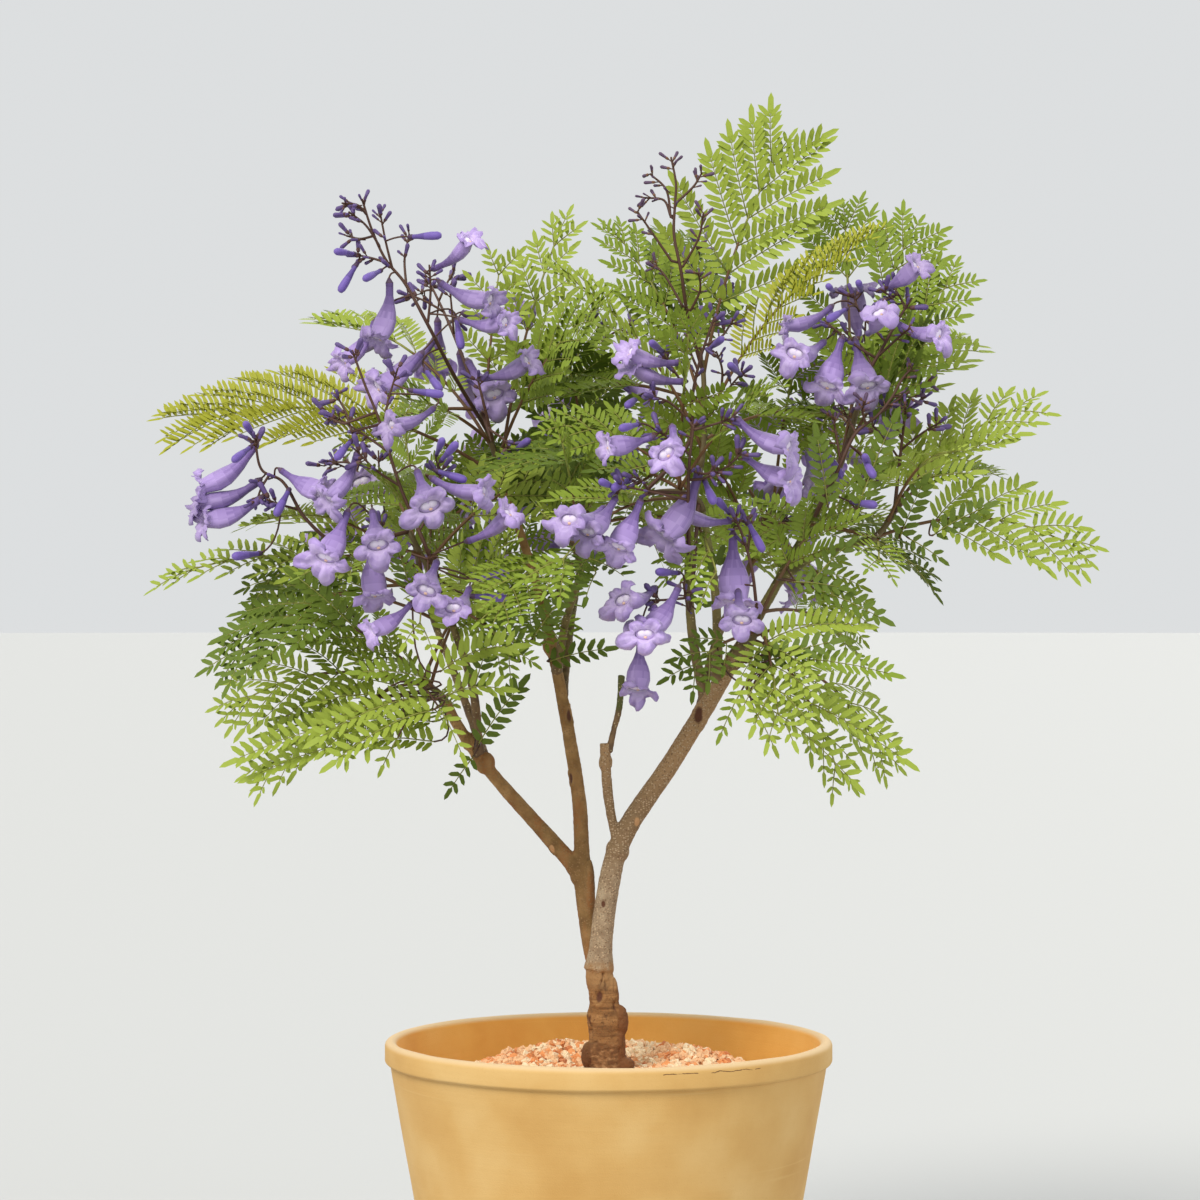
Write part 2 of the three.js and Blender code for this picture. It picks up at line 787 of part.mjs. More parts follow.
// The masses grow side by side, so that the leading leaves and the blossom of all of them get their
// places before the leaves that fill in between.
const growths = MASSES.map(startMass);
for (const growth of growths) {
  growth.mass.tips.forEach(([x, y, z, breadth = 1], i) => addFrond(growth, i, vector([x, y, z]), breadth));
}
for (const growth of growths) {
  growth.mass.panicles.forEach((panicle, i) => addPanicle(growth, panicle, i));
}
for (const growth of growths) {
  for (let i = 0; i < growth.mass.fill; i += 1) {
    addFrond(growth, growth.mass.tips.length + i, null, 1);
  }
}
for (const { mass, pieces } of growths) {
  addNode(mass.name, oneBody(Manifold.union(pieces)), FINISH.foliage);
}

export default plant;
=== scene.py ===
# %% [markdown]
# # A jacaranda in flower, kept as a bonsai
# The real thing is a small tree with bare forked stems and a crown of fern-like leaves and violet
# trumpets, in a round clay pot topped with fine gravel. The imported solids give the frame: each
# limb's line and each leaf's tip. This lesson keeps those lines and grows the fine parts on them.
# Everything is in metres, and a size read in millimetres is multiplied by MM.

# %% Load the frame
import math

import bpy
import numpy as np
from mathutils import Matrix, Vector, noise


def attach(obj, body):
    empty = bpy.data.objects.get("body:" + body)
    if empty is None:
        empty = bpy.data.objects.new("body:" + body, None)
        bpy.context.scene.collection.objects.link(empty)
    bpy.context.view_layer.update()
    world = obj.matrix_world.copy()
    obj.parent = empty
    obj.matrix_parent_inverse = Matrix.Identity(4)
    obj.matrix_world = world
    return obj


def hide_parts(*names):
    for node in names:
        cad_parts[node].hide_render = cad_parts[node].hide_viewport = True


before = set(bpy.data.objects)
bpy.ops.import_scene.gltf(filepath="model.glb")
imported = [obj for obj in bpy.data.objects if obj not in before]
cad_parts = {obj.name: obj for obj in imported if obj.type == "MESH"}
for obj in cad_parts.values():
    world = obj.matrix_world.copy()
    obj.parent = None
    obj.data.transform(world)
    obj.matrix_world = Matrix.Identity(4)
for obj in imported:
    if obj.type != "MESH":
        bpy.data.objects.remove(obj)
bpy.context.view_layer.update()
MM = 0.001

# %% [markdown]
# ## The camera
# The photograph looks level at the crown from nearly two metres away. A level camera maps a place in
# the picture to a place in space by one scale for each depth, so the same few numbers also let a
# flower be put where it is seen.

# %% Camera at the photograph's place
CAMERA_PLACE = Vector((-0.0044, -1.760, 0.3954))
LENS = 102.6
SENSOR = 36.0
PICTURE = 1200

bpy.ops.object.select_all(action="DESELECT")
bpy.ops.object.camera_add(location=CAMERA_PLACE, rotation=(math.pi / 2, 0, 0))
camera = bpy.context.object
camera.data.lens = LENS
camera.data.sensor_width = SENSOR
bpy.context.scene.camera = camera


def in_picture(across, down, depth):
    """The point at a picture's pixel, on the upright plane at that depth along Y."""
    away = depth - CAMERA_PLACE.y
    pixel = away * SENSOR / LENS / PICTURE
    x = CAMERA_PLACE.x + (across - PICTURE / 2) * pixel
    z = CAMERA_PLACE.z - (down - PICTURE / 2) * pixel
    return np.array((x, depth, z))


pixel_at_trunk = -CAMERA_PLACE.y * SENSOR / LENS / PICTURE
print("one pixel at the trunk is", round(pixel_at_trunk / MM, 3), "mm")

# %% [markdown]
# ## Floor and light
# A plain pale floor and soft light from all round, brighter from the upper left as in the picture.
# Wide suns give soft shadows and light the floor evenly to its far edge, and a pale world fills in.

# %% Floor, lamps and world
FLOOR_RADIUS = 40
LAMP_AIM = Vector((0, 0, 0.4))

bpy.ops.object.select_all(action="DESELECT")
bpy.ops.mesh.primitive_circle_add(vertices=96, radius=FLOOR_RADIUS, fill_type="NGON", location=(0, 0, 0))
floor = bpy.context.object
floor.name = "floor"


def lamp(name, place, spread, strength, tint):
    """A sun that shines from a place to the middle of the crown, with soft edges by its spread."""
    bpy.ops.object.select_all(action="DESELECT")
    bpy.ops.object.light_add(type="SUN", location=place)
    made = bpy.context.object
    made.name = name
    made.data.angle = math.radians(spread)
    made.data.energy = strength
    made.data.color = tint
    aim = LAMP_AIM - Vector(place)
    made.rotation_euler = aim.to_track_quat("-Z", "Y").to_euler()


lamp("key_lamp", (-1.3, -1.9, 2.5), 24, 2.3, (1.0, 0.97, 0.91))
lamp("fill_lamp", (1.9, -1.5, 1.3), 50, 0.5, (0.96, 0.98, 1.0))
lamp("back_lamp", (0.7, 1.9, 1.9), 40, 0.9, (1.0, 0.98, 0.92))

world = bpy.data.worlds.new("pale_room")
bpy.context.scene.world = world
world.use_nodes = True
background = world.node_tree.nodes["Background"]
background.inputs["Color"].default_value = (0.9, 0.92, 0.93, 1)
background.inputs["Strength"].default_value = 0.8
bpy.context.scene.view_settings.view_transform = "Standard"

# %% [markdown]
# ## Helpers for finishes
# A finish is one Principled shader. What is the same all over a surface is set on the shader's own
# socket. What changes over it comes from noise on Object coordinates, which stay put on the piece.
# Nodes could be wired one link at a time. Here a helper adds each kind of node, and any of its inputs
# takes a plain value or another node's socket, so a finish reads like the recipe of a paint.

# %% Finish helpers
MIX_FACTOR, MIX_FIRST, MIX_SECOND, MIX_RESULT = 0, 6, 7, 2
PRIMER = (0.5, 0.5, 0.5, 1)


def paint(red, green, blue):
    """A colour as a screen shows it, from 0 to 255, as the linear colour that a shader takes."""
    shares = np.array((red, green, blue)) / 255
    linear = np.where(shares <= 0.04045, shares / 12.92, ((shares + 0.055) / 1.055) ** 2.4)
    return (*linear.tolist(), 1.0)


def plain_finish(name, colour, roughness, sheen=0.0, specular=0.5):
    """A finish of one even colour, for leaves, petals and other small things."""
    material = bpy.data.materials.new(name)
    material.use_nodes = True
    shader = material.node_tree.nodes["Principled BSDF"]
    shader.inputs["Base Color"].default_value = colour
    shader.inputs["Roughness"].default_value = roughness
    shader.inputs["Sheen Weight"].default_value = sheen
    shader.inputs["Specular IOR Level"].default_value = specular
    return material


def add_node(tree, kind, values=None, **settings):
    """A node with its own settings. Each input gets a plain value or a link from a socket."""
    made = tree.nodes.new(kind)
    for key, value in settings.items():
        setattr(made, key, value)
    for key, value in (values or {}).items():
        if isinstance(value, bpy.types.NodeSocket):
            tree.links.new(value, made.inputs[key])
        else:
            made.inputs[key].default_value = value
    return made


def noise_on(tree, place, scale, detail=4.0, stretch=(1, 1, 1)):
    """A noise whose grains are about 1/scale metres, pulled out along an axis by a small stretch."""
    mapping = add_node(tree, "ShaderNodeMapping", {"Vector": place, "Scale": stretch})
    grains = {"Vector": mapping.outputs["Vector"], "Scale": scale, "Detail": detail}
    return add_node(tree, "ShaderNodeTexNoise", grains).outputs["Fac"]


def ramp_of(tree, factor, stops):
    """Colours at places from 0 to 1 along a factor."""
    made = add_node(tree, "ShaderNodeValToRGB", {"Fac": factor})
    elements = made.color_ramp.elements
    while len(elements) < len(stops):
        elements.new(0.5)
    for element, (place, colour) in zip(elements, stops):
        element.position = place
        element.color = colour
    return made.outputs["Color"]


def blend_of(tree, factor, first, second):
    """Two colours mixed by a factor. The Mix node's sockets share names, so they go by number."""
    values = {MIX_FACTOR: factor, MIX_FIRST: first, MIX_SECOND: second}
    return add_node(tree, "ShaderNodeMix", values, data_type="RGBA").outputs[MIX_RESULT]


def range_of(tree, value, low, high):
    """0 at low, 1 at high and smooth between, also where low is the larger one."""
    ends = {"Value": value, "From Min": low, "From Max": high}
    made = add_node(tree, "ShaderNodeMapRange", ends, interpolation_type="SMOOTHSTEP")
    return made.outputs["Result"]


def start_finish(name, roughness):
    """An empty patterned finish: its material, its tree and its Object coordinates."""
    material = plain_finish(name, PRIMER, roughness)
    tree = material.node_tree
    return material, tree, add_node(tree, "ShaderNodeTexCoord").outputs["Object"]


def end_finish(tree, colour, height, depth, strength=1.0):
    """Links a patterned finish's colour to its shader, with a fine relief on the normal."""
    shader = tree.nodes["Principled BSDF"]
    relief = add_node(tree, "ShaderNodeBump", {"Height": height, "Distance": depth, "Strength": strength})
    tree.links.new(colour, shader.inputs["Base Color"])
    tree.links.new(relief.outputs["Normal"], shader.inputs["Normal"])


floor.data.materials.append(plain_finish("pale_floor", paint(190, 191, 190), 0.75))
print("floor finish:", floor.data.materials[0].name)

# %% [markdown]
# ## Helpers for pieces
# A turned piece is drawn as half an outline, vertex by vertex with extrude, and spun round the Z
# axis, as a potter's profile would be. Small things that repeat are kept as arrays of points and
# triangles, stamped out many times, and joined as one mesh for each kind and colour.

# %% Piece helpers


def only_select(thing):
    """Selects one object and makes it the active one."""
    bpy.ops.object.select_all(action="DESELECT")
    thing.select_set(True)
    bpy.context.view_layer.objects.active = thing


def apply_all(thing):
    """Applies a piece's modifiers in order."""
    only_select(thing)
    for modifier in list(thing.modifiers):
        bpy.ops.object.modifier_apply(modifier=modifier.name)


def spun(name, outline, steps):
    """A solid turned round Z from an outline of (radius, height) points in millimetres."""
    bpy.ops.object.select_all(action="DESELECT")
    bpy.ops.mesh.primitive_plane_add(size=MM, location=(0, 0, 0))
    thing = bpy.context.object
    thing.name = name
    bpy.ops.object.mode_set(mode="EDIT")
    bpy.ops.mesh.select_all(action="SELECT")
    bpy.ops.mesh.merge(type="CENTER")
    places = [Vector((radius * MM, 0, height * MM)) for radius, height in outline]
    bpy.ops.transform.translate(value=places[0])
    for here, there in zip(places, places[1:]):
        bpy.ops.mesh.extrude_region_move(TRANSFORM_OT_translate={"value": there - here})
    bpy.ops.mesh.select_all(action="SELECT")
    bpy.ops.mesh.spin(steps=steps, angle=2 * math.pi, center=(0, 0, 0), axis=(0, 0, 1))
    bpy.ops.mesh.select_all(action="SELECT")
    bpy.ops.mesh.remove_doubles(threshold=MM / 1000)
    bpy.ops.mesh.normals_make_consistent(inside=False)
    bpy.ops.object.mode_set(mode="OBJECT")
    return thing


# %% Helpers for many small things


def joined_piece(name, arrays, finishes, smooth=True):
    """One mesh from arrays of points, of triangles and of the number of each one's finish."""
    points, triangles, numbers = arrays
    mesh = bpy.data.meshes.new(name)
    mesh.vertices.add(len(points))
    mesh.vertices.foreach_set("co", np.ascontiguousarray(points, np.float32).ravel())
    mesh.loops.add(3 * len(triangles))
    mesh.loops.foreach_set("vertex_index", np.ascontiguousarray(triangles, np.int32).ravel())
    mesh.polygons.add(len(triangles))
    mesh.polygons.foreach_set("loop_start", np.arange(0, 3 * len(triangles), 3, dtype=np.int32))
    for finish in finishes:
        mesh.materials.append(finish)
    mesh.polygons.foreach_set("material_index", np.ascontiguousarray(numbers, np.int32))
    mesh.polygons.foreach_set("use_smooth", np.full(len(triangles), smooth))
    mesh.update(calc_edges=True)
    mesh.validate()
    thing = bpy.data.objects.new(name, mesh)
    bpy.context.scene.collection.objects.link(thing)
    return thing


def shape_arrays(thing):
    """A modelled shape as arrays of points, triangles and finish numbers. The object is removed."""
    mesh = thing.data
    mesh.calc_loop_triangles()
    points = np.array([vertex.co for vertex in mesh.vertices])
    triangles = np.array([triangle.vertices for triangle in mesh.loop_triangles])
    numbers = np.array([triangle.material_index for triangle in mesh.loop_triangles])
    bpy.data.objects.remove(thing)
    return points, triangles, numbers


def stamped(shape, turns, places):
    """Copies of a shape, each by its own 3 x 3 matrix and place, as one set of arrays."""
    points, triangles, numbers = shape
    turns = np.asarray(turns)
    places = np.asarray(places)
    moved = np.einsum("nij,pj->npi", turns, points) + places[:, None, :]
    steps = np.arange(len(places))[:, None, None] * len(points)
    return moved.reshape(-1, 3), (triangles[None] + steps).reshape(-1, 3), np.tile(numbers, len(places))


def finish_piece(thing, slot, *nodes):
    """Every piece rides on the one body and stands for its nodes. The slot is not used."""
    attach(thing, "root")
    if nodes:
        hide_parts(*nodes)
    thing.data.calc_loop_triangles()
    print(thing.name, len(thing.data.loop_triangles), "triangles")


# %% [markdown]
# ## Chance
# The crown is grown by a rule with a little chance in it. The chance is a formula of a seed, so every
# run grows the same tree, and the leaves come out on the same stems as in the solids.

# %% Seeded chance and vectors


def chance(seed, draw):
    """A number from 0 to 1 that is always the same for a seed and a draw."""
    wave = math.sin(seed * 12.9898 + draw * 78.233) * 43758.5453
    return wave - math.floor(wave)


def either(seed, draw):
    """The same from -1 to 1."""
    return 2 * chance(seed, draw) - 1


def unit(vector):
    """A vector at length 1."""
    vector = np.asarray(vector, float)
    return vector / max(np.linalg.norm(vector), 1e-12)


def square_to(vector, axis):
    """What is left of a vector when its part along a unit axis is taken away."""
    vector = np.asarray(vector, float)
    return vector - np.dot(vector, axis) * axis


def turned_about(vector, axis, angle):
    """A vector turned about a unit axis."""
    along = np.dot(axis, vector) * axis
    return along + (vector - along) * math.cos(angle) + np.cross(axis, vector) * math.sin(angle)


UP = np.array((0.0, 0.0, 1.0))
rng = np.random.default_rng(41)
print("first draws:", round(chance(100, 1), 4), round(rng.random(), 4))

# %% [markdown]
# ## The pot
# A thick turned pot of unglazed clay: a straight tapering wall, a collar under a round lip, and three
# drain holes. It is spun from its profile, the holes are cut with booleans, and a faint cloud
# displacement takes the machine-made evenness out of the rim.

# %% Pot shape
POT_HEIGHT = 170.0
POT_RIM = 115.0
POT_MOUTH = 108.5
POT_FLOOR = 12.0
POT_FLOOR_RADIUS = 78.5
LIP = (POT_RIM - POT_MOUTH) / 2
MOUTH_LEVEL = POT_HEIGHT - LIP
POT_FOOT = 85.0
FOOT_CORNER = 3.0
WALL_SPREAD = 26.4
WALL_HEIGHT = 150.0
COLLAR_UNDER = [(111.9, 156.0), (112.4, 157.8), (113.8, 158.2)]
COLLAR_CORNER = 1.5
COLLAR_LEVEL = 159.9


def inner_radius(height):
    """The radius of the pot's inside at a height, in millimetres."""
    share = (height - POT_FLOOR) / (MOUTH_LEVEL - POT_FLOOR)
    return POT_FLOOR_RADIUS + share * (POT_MOUTH - POT_FLOOR_RADIUS)


def corner(radius, height, size, first, last, points=5):
    """A rounded corner as an arc about a centre, from the first to the last angle in degrees."""
    angles = np.radians(np.linspace(first, last, points))
    return [(radius + size * math.cos(a), height + size * math.sin(a)) for a in angles]


pot_outline = [(0, 0), (60, 0), (80, 0)]
pot_outline += corner(POT_FOOT - FOOT_CORNER, FOOT_CORNER, FOOT_CORNER, -90, 0)
for share in np.linspace(0.04, 1, 14):
    pot_outline.append((POT_FOOT + share * WALL_SPREAD, FOOT_CORNER + share * WALL_HEIGHT))
pot_outline += COLLAR_UNDER
pot_outline += corner(POT_RIM - COLLAR_CORNER, COLLAR_LEVEL, COLLAR_CORNER, -70, 0)
pot_outline += [(POT_RIM, 162.4), (POT_RIM, 164.4)]
pot_outline += corner(POT_RIM - LIP, MOUTH_LEVEL, LIP, 0, 180, 13)
pot_outline += [(inner_radius(height), height) for height in np.linspace(162, 20, 12)]
pot_outline += [(inner_radius(14.5), 14.5), (POT_FLOOR_RADIUS - 2, 12.3), (70, POT_FLOOR), (0, POT_FLOOR)]
print("pot outline:", len(pot_outline), "points")

# %% Turn the pot, drill it and make it uneven
DRAIN_RING = 45.0
DRAIN_RADIUS = 6.0
WOBBLE_SIZE = 0.06
WOBBLE_DEPTH = 1.1
FLAT_FOOT = 0.008

pot = spun("clay_pot", pot_outline, 144)
for number in range(3):
    turn = 2 * math.pi * number / 3
    place = (DRAIN_RING * MM * math.cos(turn), DRAIN_RING * MM * math.sin(turn), 0)
    bpy.ops.object.select_all(action="DESELECT")
    bpy.ops.mesh.primitive_cylinder_add(vertices=24, radius=DRAIN_RADIUS * MM, depth=0.05, location=place)
    drain = bpy.context.object
    cut = pot.modifiers.new("drain", "BOOLEAN")
    cut.object = drain
    cut.operation = "DIFFERENCE"
    apply_all(pot)
    bpy.data.objects.remove(drain)

wobble = bpy.data.textures.new("wobble", "CLOUDS")
wobble.noise_scale = WOBBLE_SIZE
above_foot = pot.vertex_groups.new(name="above_foot")
above_foot.add([v.index for v in pot.data.vertices if v.co.z > FLAT_FOOT], 1.0, "REPLACE")
uneven = pot.modifiers.new("uneven", "DISPLACE")
uneven.texture = wobble
uneven.strength = WOBBLE_DEPTH * MM
uneven.vertex_group = "above_foot"
apply_all(pot)
only_select(pot)
bpy.ops.object.shade_smooth_by_angle(angle=math.radians(40))
print("pot box", [round(x, 4) for x in pot.dimensions])

# %% [markdown]
# ## Clay
# Outside, the clay is pale ochre with soft blotches, faint turning lines and a chalky lip. Inside, it
# is a warmer orange. So the pot has two finishes, and faces that look at the axis take the inner one.
# A hairline crack runs along the front of the rim. It is too thin to carve, so it is a dark line.

# %% Clay finishes
LIP_LEVELS = (0.1672, 0.1695)
CRACK_LEVEL = 0.1665
CRACK_MIDDLE = 0.05
CRACK_REACH = 0.024
CRACK_WIDTH = 0.0002
CRACK_WANDER = 0.0025
CRACK_TONE = paint(104, 70, 34)
FRONT_WALL = -0.1
FRONT_REACH = 0.03
LIP_TONE = paint(217, 187, 142)
CLAY_TONES = {
    "clay_outside": [(197, 152, 84), (206, 164, 97), (214, 177, 114)],
    "clay_inside": [(217, 154, 66), (226, 168, 79), (232, 180, 96)],
}


def axes_of(tree, place):
    """The X, Y and Z of a place, as three sockets."""
    return add_node(tree, "ShaderNodeSeparateXYZ", {"Vector": place}).outputs


def math_of(tree, how, *values):
    """A result of two or three values, by the Math node's name for the operation."""
    return add_node(tree, "ShaderNodeMath", dict(enumerate(values)), operation=how).outputs["Value"]


def layered(tree, colour, layers):
    """Colours laid over a colour in turn, each as far as its value goes from a low to a high."""
    for value, low, high, over in layers:
        colour = blend_of(tree, range_of(tree, value, low, high), colour, over)
    return colour


def clay_finish(name, deep, middle, pale):
    """Clay in blotches of three tones, with turning lines, a chalky lip and the hairline crack."""
    material, tree, place = start_finish(name, 0.78)
    x, y, z = axes_of(tree, place)
    lines = noise_on(tree, place, 30, 3, (0.35, 0.35, 14))
    grain = noise_on(tree, place, 1500, 3)
    colour = ramp_of(tree, noise_on(tree, place, 22, 5), [(0.3, deep), (0.5, middle), (0.72, pale)])
    layers = [(lines, 0.62, 0.9, pale), (grain, 0.62, 0.8, deep), (z, *LIP_LEVELS, LIP_TONE)]
    colour = layered(tree, colour, layers)
    wander = math_of(tree, "MULTIPLY_ADD", noise_on(tree, place, 160, 4), -CRACK_WANDER, z)
    crack_here = [
        range_of(tree, noise_on(tree, place, 130, 2), 0.36, 0.42),
        math_of(tree, "COMPARE", x, CRACK_MIDDLE, CRACK_REACH),
        math_of(tree, "COMPARE", y, FRONT_WALL, FRONT_REACH),
        math_of(tree, "COMPARE", wander, CRACK_LEVEL - 0.5 * CRACK_WANDER, CRACK_WIDTH),
    ]
    cracked = CRACK_TONE
    for here in crack_here:
        cracked = blend_of(tree, here, colour, cracked)
    end_finish(tree, cracked, blend_of(tree, 0.5, lines, grain), 0.35 * MM, 0.6)
    return material


pot.data.materials.clear()
for name, tones in CLAY_TONES.items():
    pot.data.materials.append(clay_finish(name, *(paint(*tone) for tone in tones)))
for face in pot.data.polygons:
    outward = Vector((face.center.x, face.center.y, 0))
    faces_in = outward.length > 1e-6 and face.normal.dot(outward.normalized()) < -0.3
    on_floor = face.normal.z > 0.5 and face.center.z < 0.1
    face.material_index = 1 if faces_in or on_floor else 0
finish_piece(pot, "clay", "pot")

# %% [markdown]
# ## The gravel
# The pot is filled with angular granules a few millimetres across, peach with some orange and cream,
# level round the trunk and heaped up behind it. A bed is spun for the filling and moved to the height
# of the ground. Stones are stamped on it along a sunflower spiral, which spaces them evenly, each
# squashed, turned and sunk by chance.

# %% Gravel bed
LEVEL = 156.0
LEVEL_RADIUS = 27.0
EDGE = 143.0
EDGE_RADIUS = inner_radius(EDGE) - 0.3
HEAP = 7.0
HEAP_REACH = 0.8
HEAP_FORWARD = 0.3
HEAP_SPAN = 1.2
RINGS = 7
COLUMNS = 30
LUMP = 1.6
BED_BELOW = 2.2


def lump_at(ring, column):
    """How far a corner of the ground is lifted or sunk by chance, as in the solid."""
    return LUMP * either(ring, column % COLUMNS) if 0 < ring < RINGS else 0.0


def ground_height(x, y):
    """The gravel's height at a place: level by the trunk, heaped behind it and low at the wall."""
    radius = max(math.hypot(x, y), 1e-6)
    out = min(1.0, max(0.0, (radius - LEVEL_RADIUS) / (EDGE_RADIUS - LEVEL_RADIUS)))
    behind = min(1.0, max(0.0, (y / radius + HEAP_FORWARD) / HEAP_SPAN))
    heap = HEAP * math.sin(math.pi * min(1.0, out / HEAP_REACH)) * behind * behind * (3 - 2 * behind)
    ring, up = divmod((1 - out) * RINGS, 1)
    column, on = divmod(math.atan2(x, -y) / (2 * math.pi) % 1 * COLUMNS, 1)
    low = (1 - on) * lump_at(ring, column) + on * lump_at(ring, column + 1)
    high = (1 - on) * lump_at(ring + 1, column) + on * lump_at(ring + 1, column + 1)
    return LEVEL + (EDGE - LEVEL) * out * out + heap + (1 - up) * low + up * high


bed_outline = [(0, POT_FLOOR + 0.4), (inner_radius(14) - 1.5, POT_FLOOR + 0.4)]
bed_outline += [(radius, EDGE - BED_BELOW) for radius in np.linspace(EDGE_RADIUS - 1.2, 6, 24)]
bed_outline += [(0, EDGE - BED_BELOW)]
bed = spun("gravel_bed", bed_outline, 90)
for vertex in bed.data.vertices:
    if vertex.co.z > 0.5 * EDGE * MM:
        vertex.co.z = (ground_height(vertex.co.x / MM, vertex.co.y / MM) - BED_BELOW) * MM
only_select(bed)
bpy.ops.object.shade_smooth_by_angle(angle=math.radians(40))
print("gravel bed:", len(bed.data.polygons), "faces")

# %% Damp fines between the stones
FINES = [(0.35, paint(176, 118, 76)), (0.6, paint(214, 160, 114))]

material, tree, place = start_finish("damp_fines", 0.95)
fines = noise_on(tree, place, 420, 6)
end_finish(tree, ramp_of(tree, fines, FINES), fines, 2 * MM)
bed.data.materials.append(material)
finish_piece(bed, "gravel", "soil")

# %% Gravel stones


def stone_shape(seed):
    """A rough stone: an icosphere whose corners are pushed about."""
    bpy.ops.object.select_all(action="DESELECT")
    bpy.ops.mesh.primitive_ico_sphere_add(subdivisions=2, radius=1)
    thing = bpy.context.object
    bpy.ops.object.mode_set(mode="EDIT")
    bpy.ops.mesh.select_all(action="SELECT")
    bpy.ops.transform.vertex_random(offset=0.32, uniform=0.6, normal=0.4, seed=seed)
    bpy.ops.object.mode_set(mode="OBJECT")
    thin = thing.modifiers.new("thin", "DECIMATE")
    thin.ratio = 0.5
    apply_all(thing)
    return shape_arrays(thing)


STONES = [stone_shape(seed) for seed in (3, 8, 14)]
print("stone:", len(STONES[0][1]), "triangles")

# %% Strew the stones
STONE_COUNT = 2600
STONE_SIZE = (2.0, 3.3)
STONE_SINK = 0.7
CLEAR_OF_WALL = 3.6
GOLDEN_ANGLE = math.radians(137.5)
STONE_TINTS = {
    "peach": (paint(238, 192, 146), 0.48),
    "cream": (paint(244, 220, 182), 0.24),
    "orange": (paint(230, 154, 96), 0.20),
    "russet": (paint(206, 126, 76), 0.08),
}


def any_turn():
    """A chance rotation matrix."""
    rows, _ = np.linalg.qr(rng.normal(size=(3, 3)))
    return rows * np.sign(np.linalg.det(rows))


stone_rows = {tint: [] for tint in STONE_TINTS}
shares = [share for _, share in STONE_TINTS.values()]
reach = EDGE_RADIUS - CLEAR_OF_WALL
for number in range(STONE_COUNT):
    radius = reach * math.sqrt((number + 0.5) / STONE_COUNT) + rng.normal(0, 0.5)
    turn = number * GOLDEN_ANGLE + rng.normal(0, 0.02)
    size = rng.uniform(*STONE_SIZE)
    x, y = radius * math.cos(turn), radius * math.sin(turn)
    sink = STONE_SINK * size + rng.uniform(-0.8, 0.8)
    place = np.array((x, y, ground_height(x, y) - sink))
    squash = np.diag((1.0, rng.uniform(0.65, 1.0), rng.uniform(0.5, 0.8)))
    tint = rng.choice(list(STONE_TINTS), p=shares)
    stone_rows[tint].append((number % len(STONES), any_turn() @ squash * size * MM, place * MM))
print("stones:", {tint: len(rows) for tint, rows in stone_rows.items()})

# %% Gravel pieces


def stone_finish(name, colour):
    """One tint of stone, with darker grains in it."""
    material, tree, place = start_finish(name, 0.9)
    grain = noise_on(tree, place, 900, 4)
    darker = tuple(0.75 * share for share in colour[:3]) + (1.0,)
    end_finish(tree, ramp_of(tree, grain, [(0.3, darker), (0.55, colour)]), grain, 0.5 * MM)
    return material


def gathered(parts):
    """Several sets of arrays as one."""
    points, triangles, numbers, count = [], [], [], 0
    for some_points, some_triangles, some_numbers in parts:
        points.append(some_points)
        triangles.append(some_triangles + count)
        numbers.append(some_numbers)
        count += len(some_points)
    return np.concatenate(points), np.concatenate(triangles), np.concatenate(numbers)


for tint, rows in stone_rows.items():
    parts = []
    for kind, shape in enumerate(STONES):
        chosen = [(turn, place) for stone, turn, place in rows if stone == kind]
        parts.append(stamped(shape, *zip(*chosen)))
    finish = stone_finish("stone_" + tint, STONE_TINTS[tint][0])
    finish_piece(joined_piece("gravel_" + tint, gathered(parts), [finish], smooth=False), "gravel")

# %% [markdown]
# ## The limbs
# Each limb runs along a few points, with its radius at foot and tip. A round bevel swept along a
# curve, with the radius set at each point, gives the raw limb. Near its foot a limb swells into a
# collar. The thick limbs are joined and remeshed in one skin, so that the forks close over.

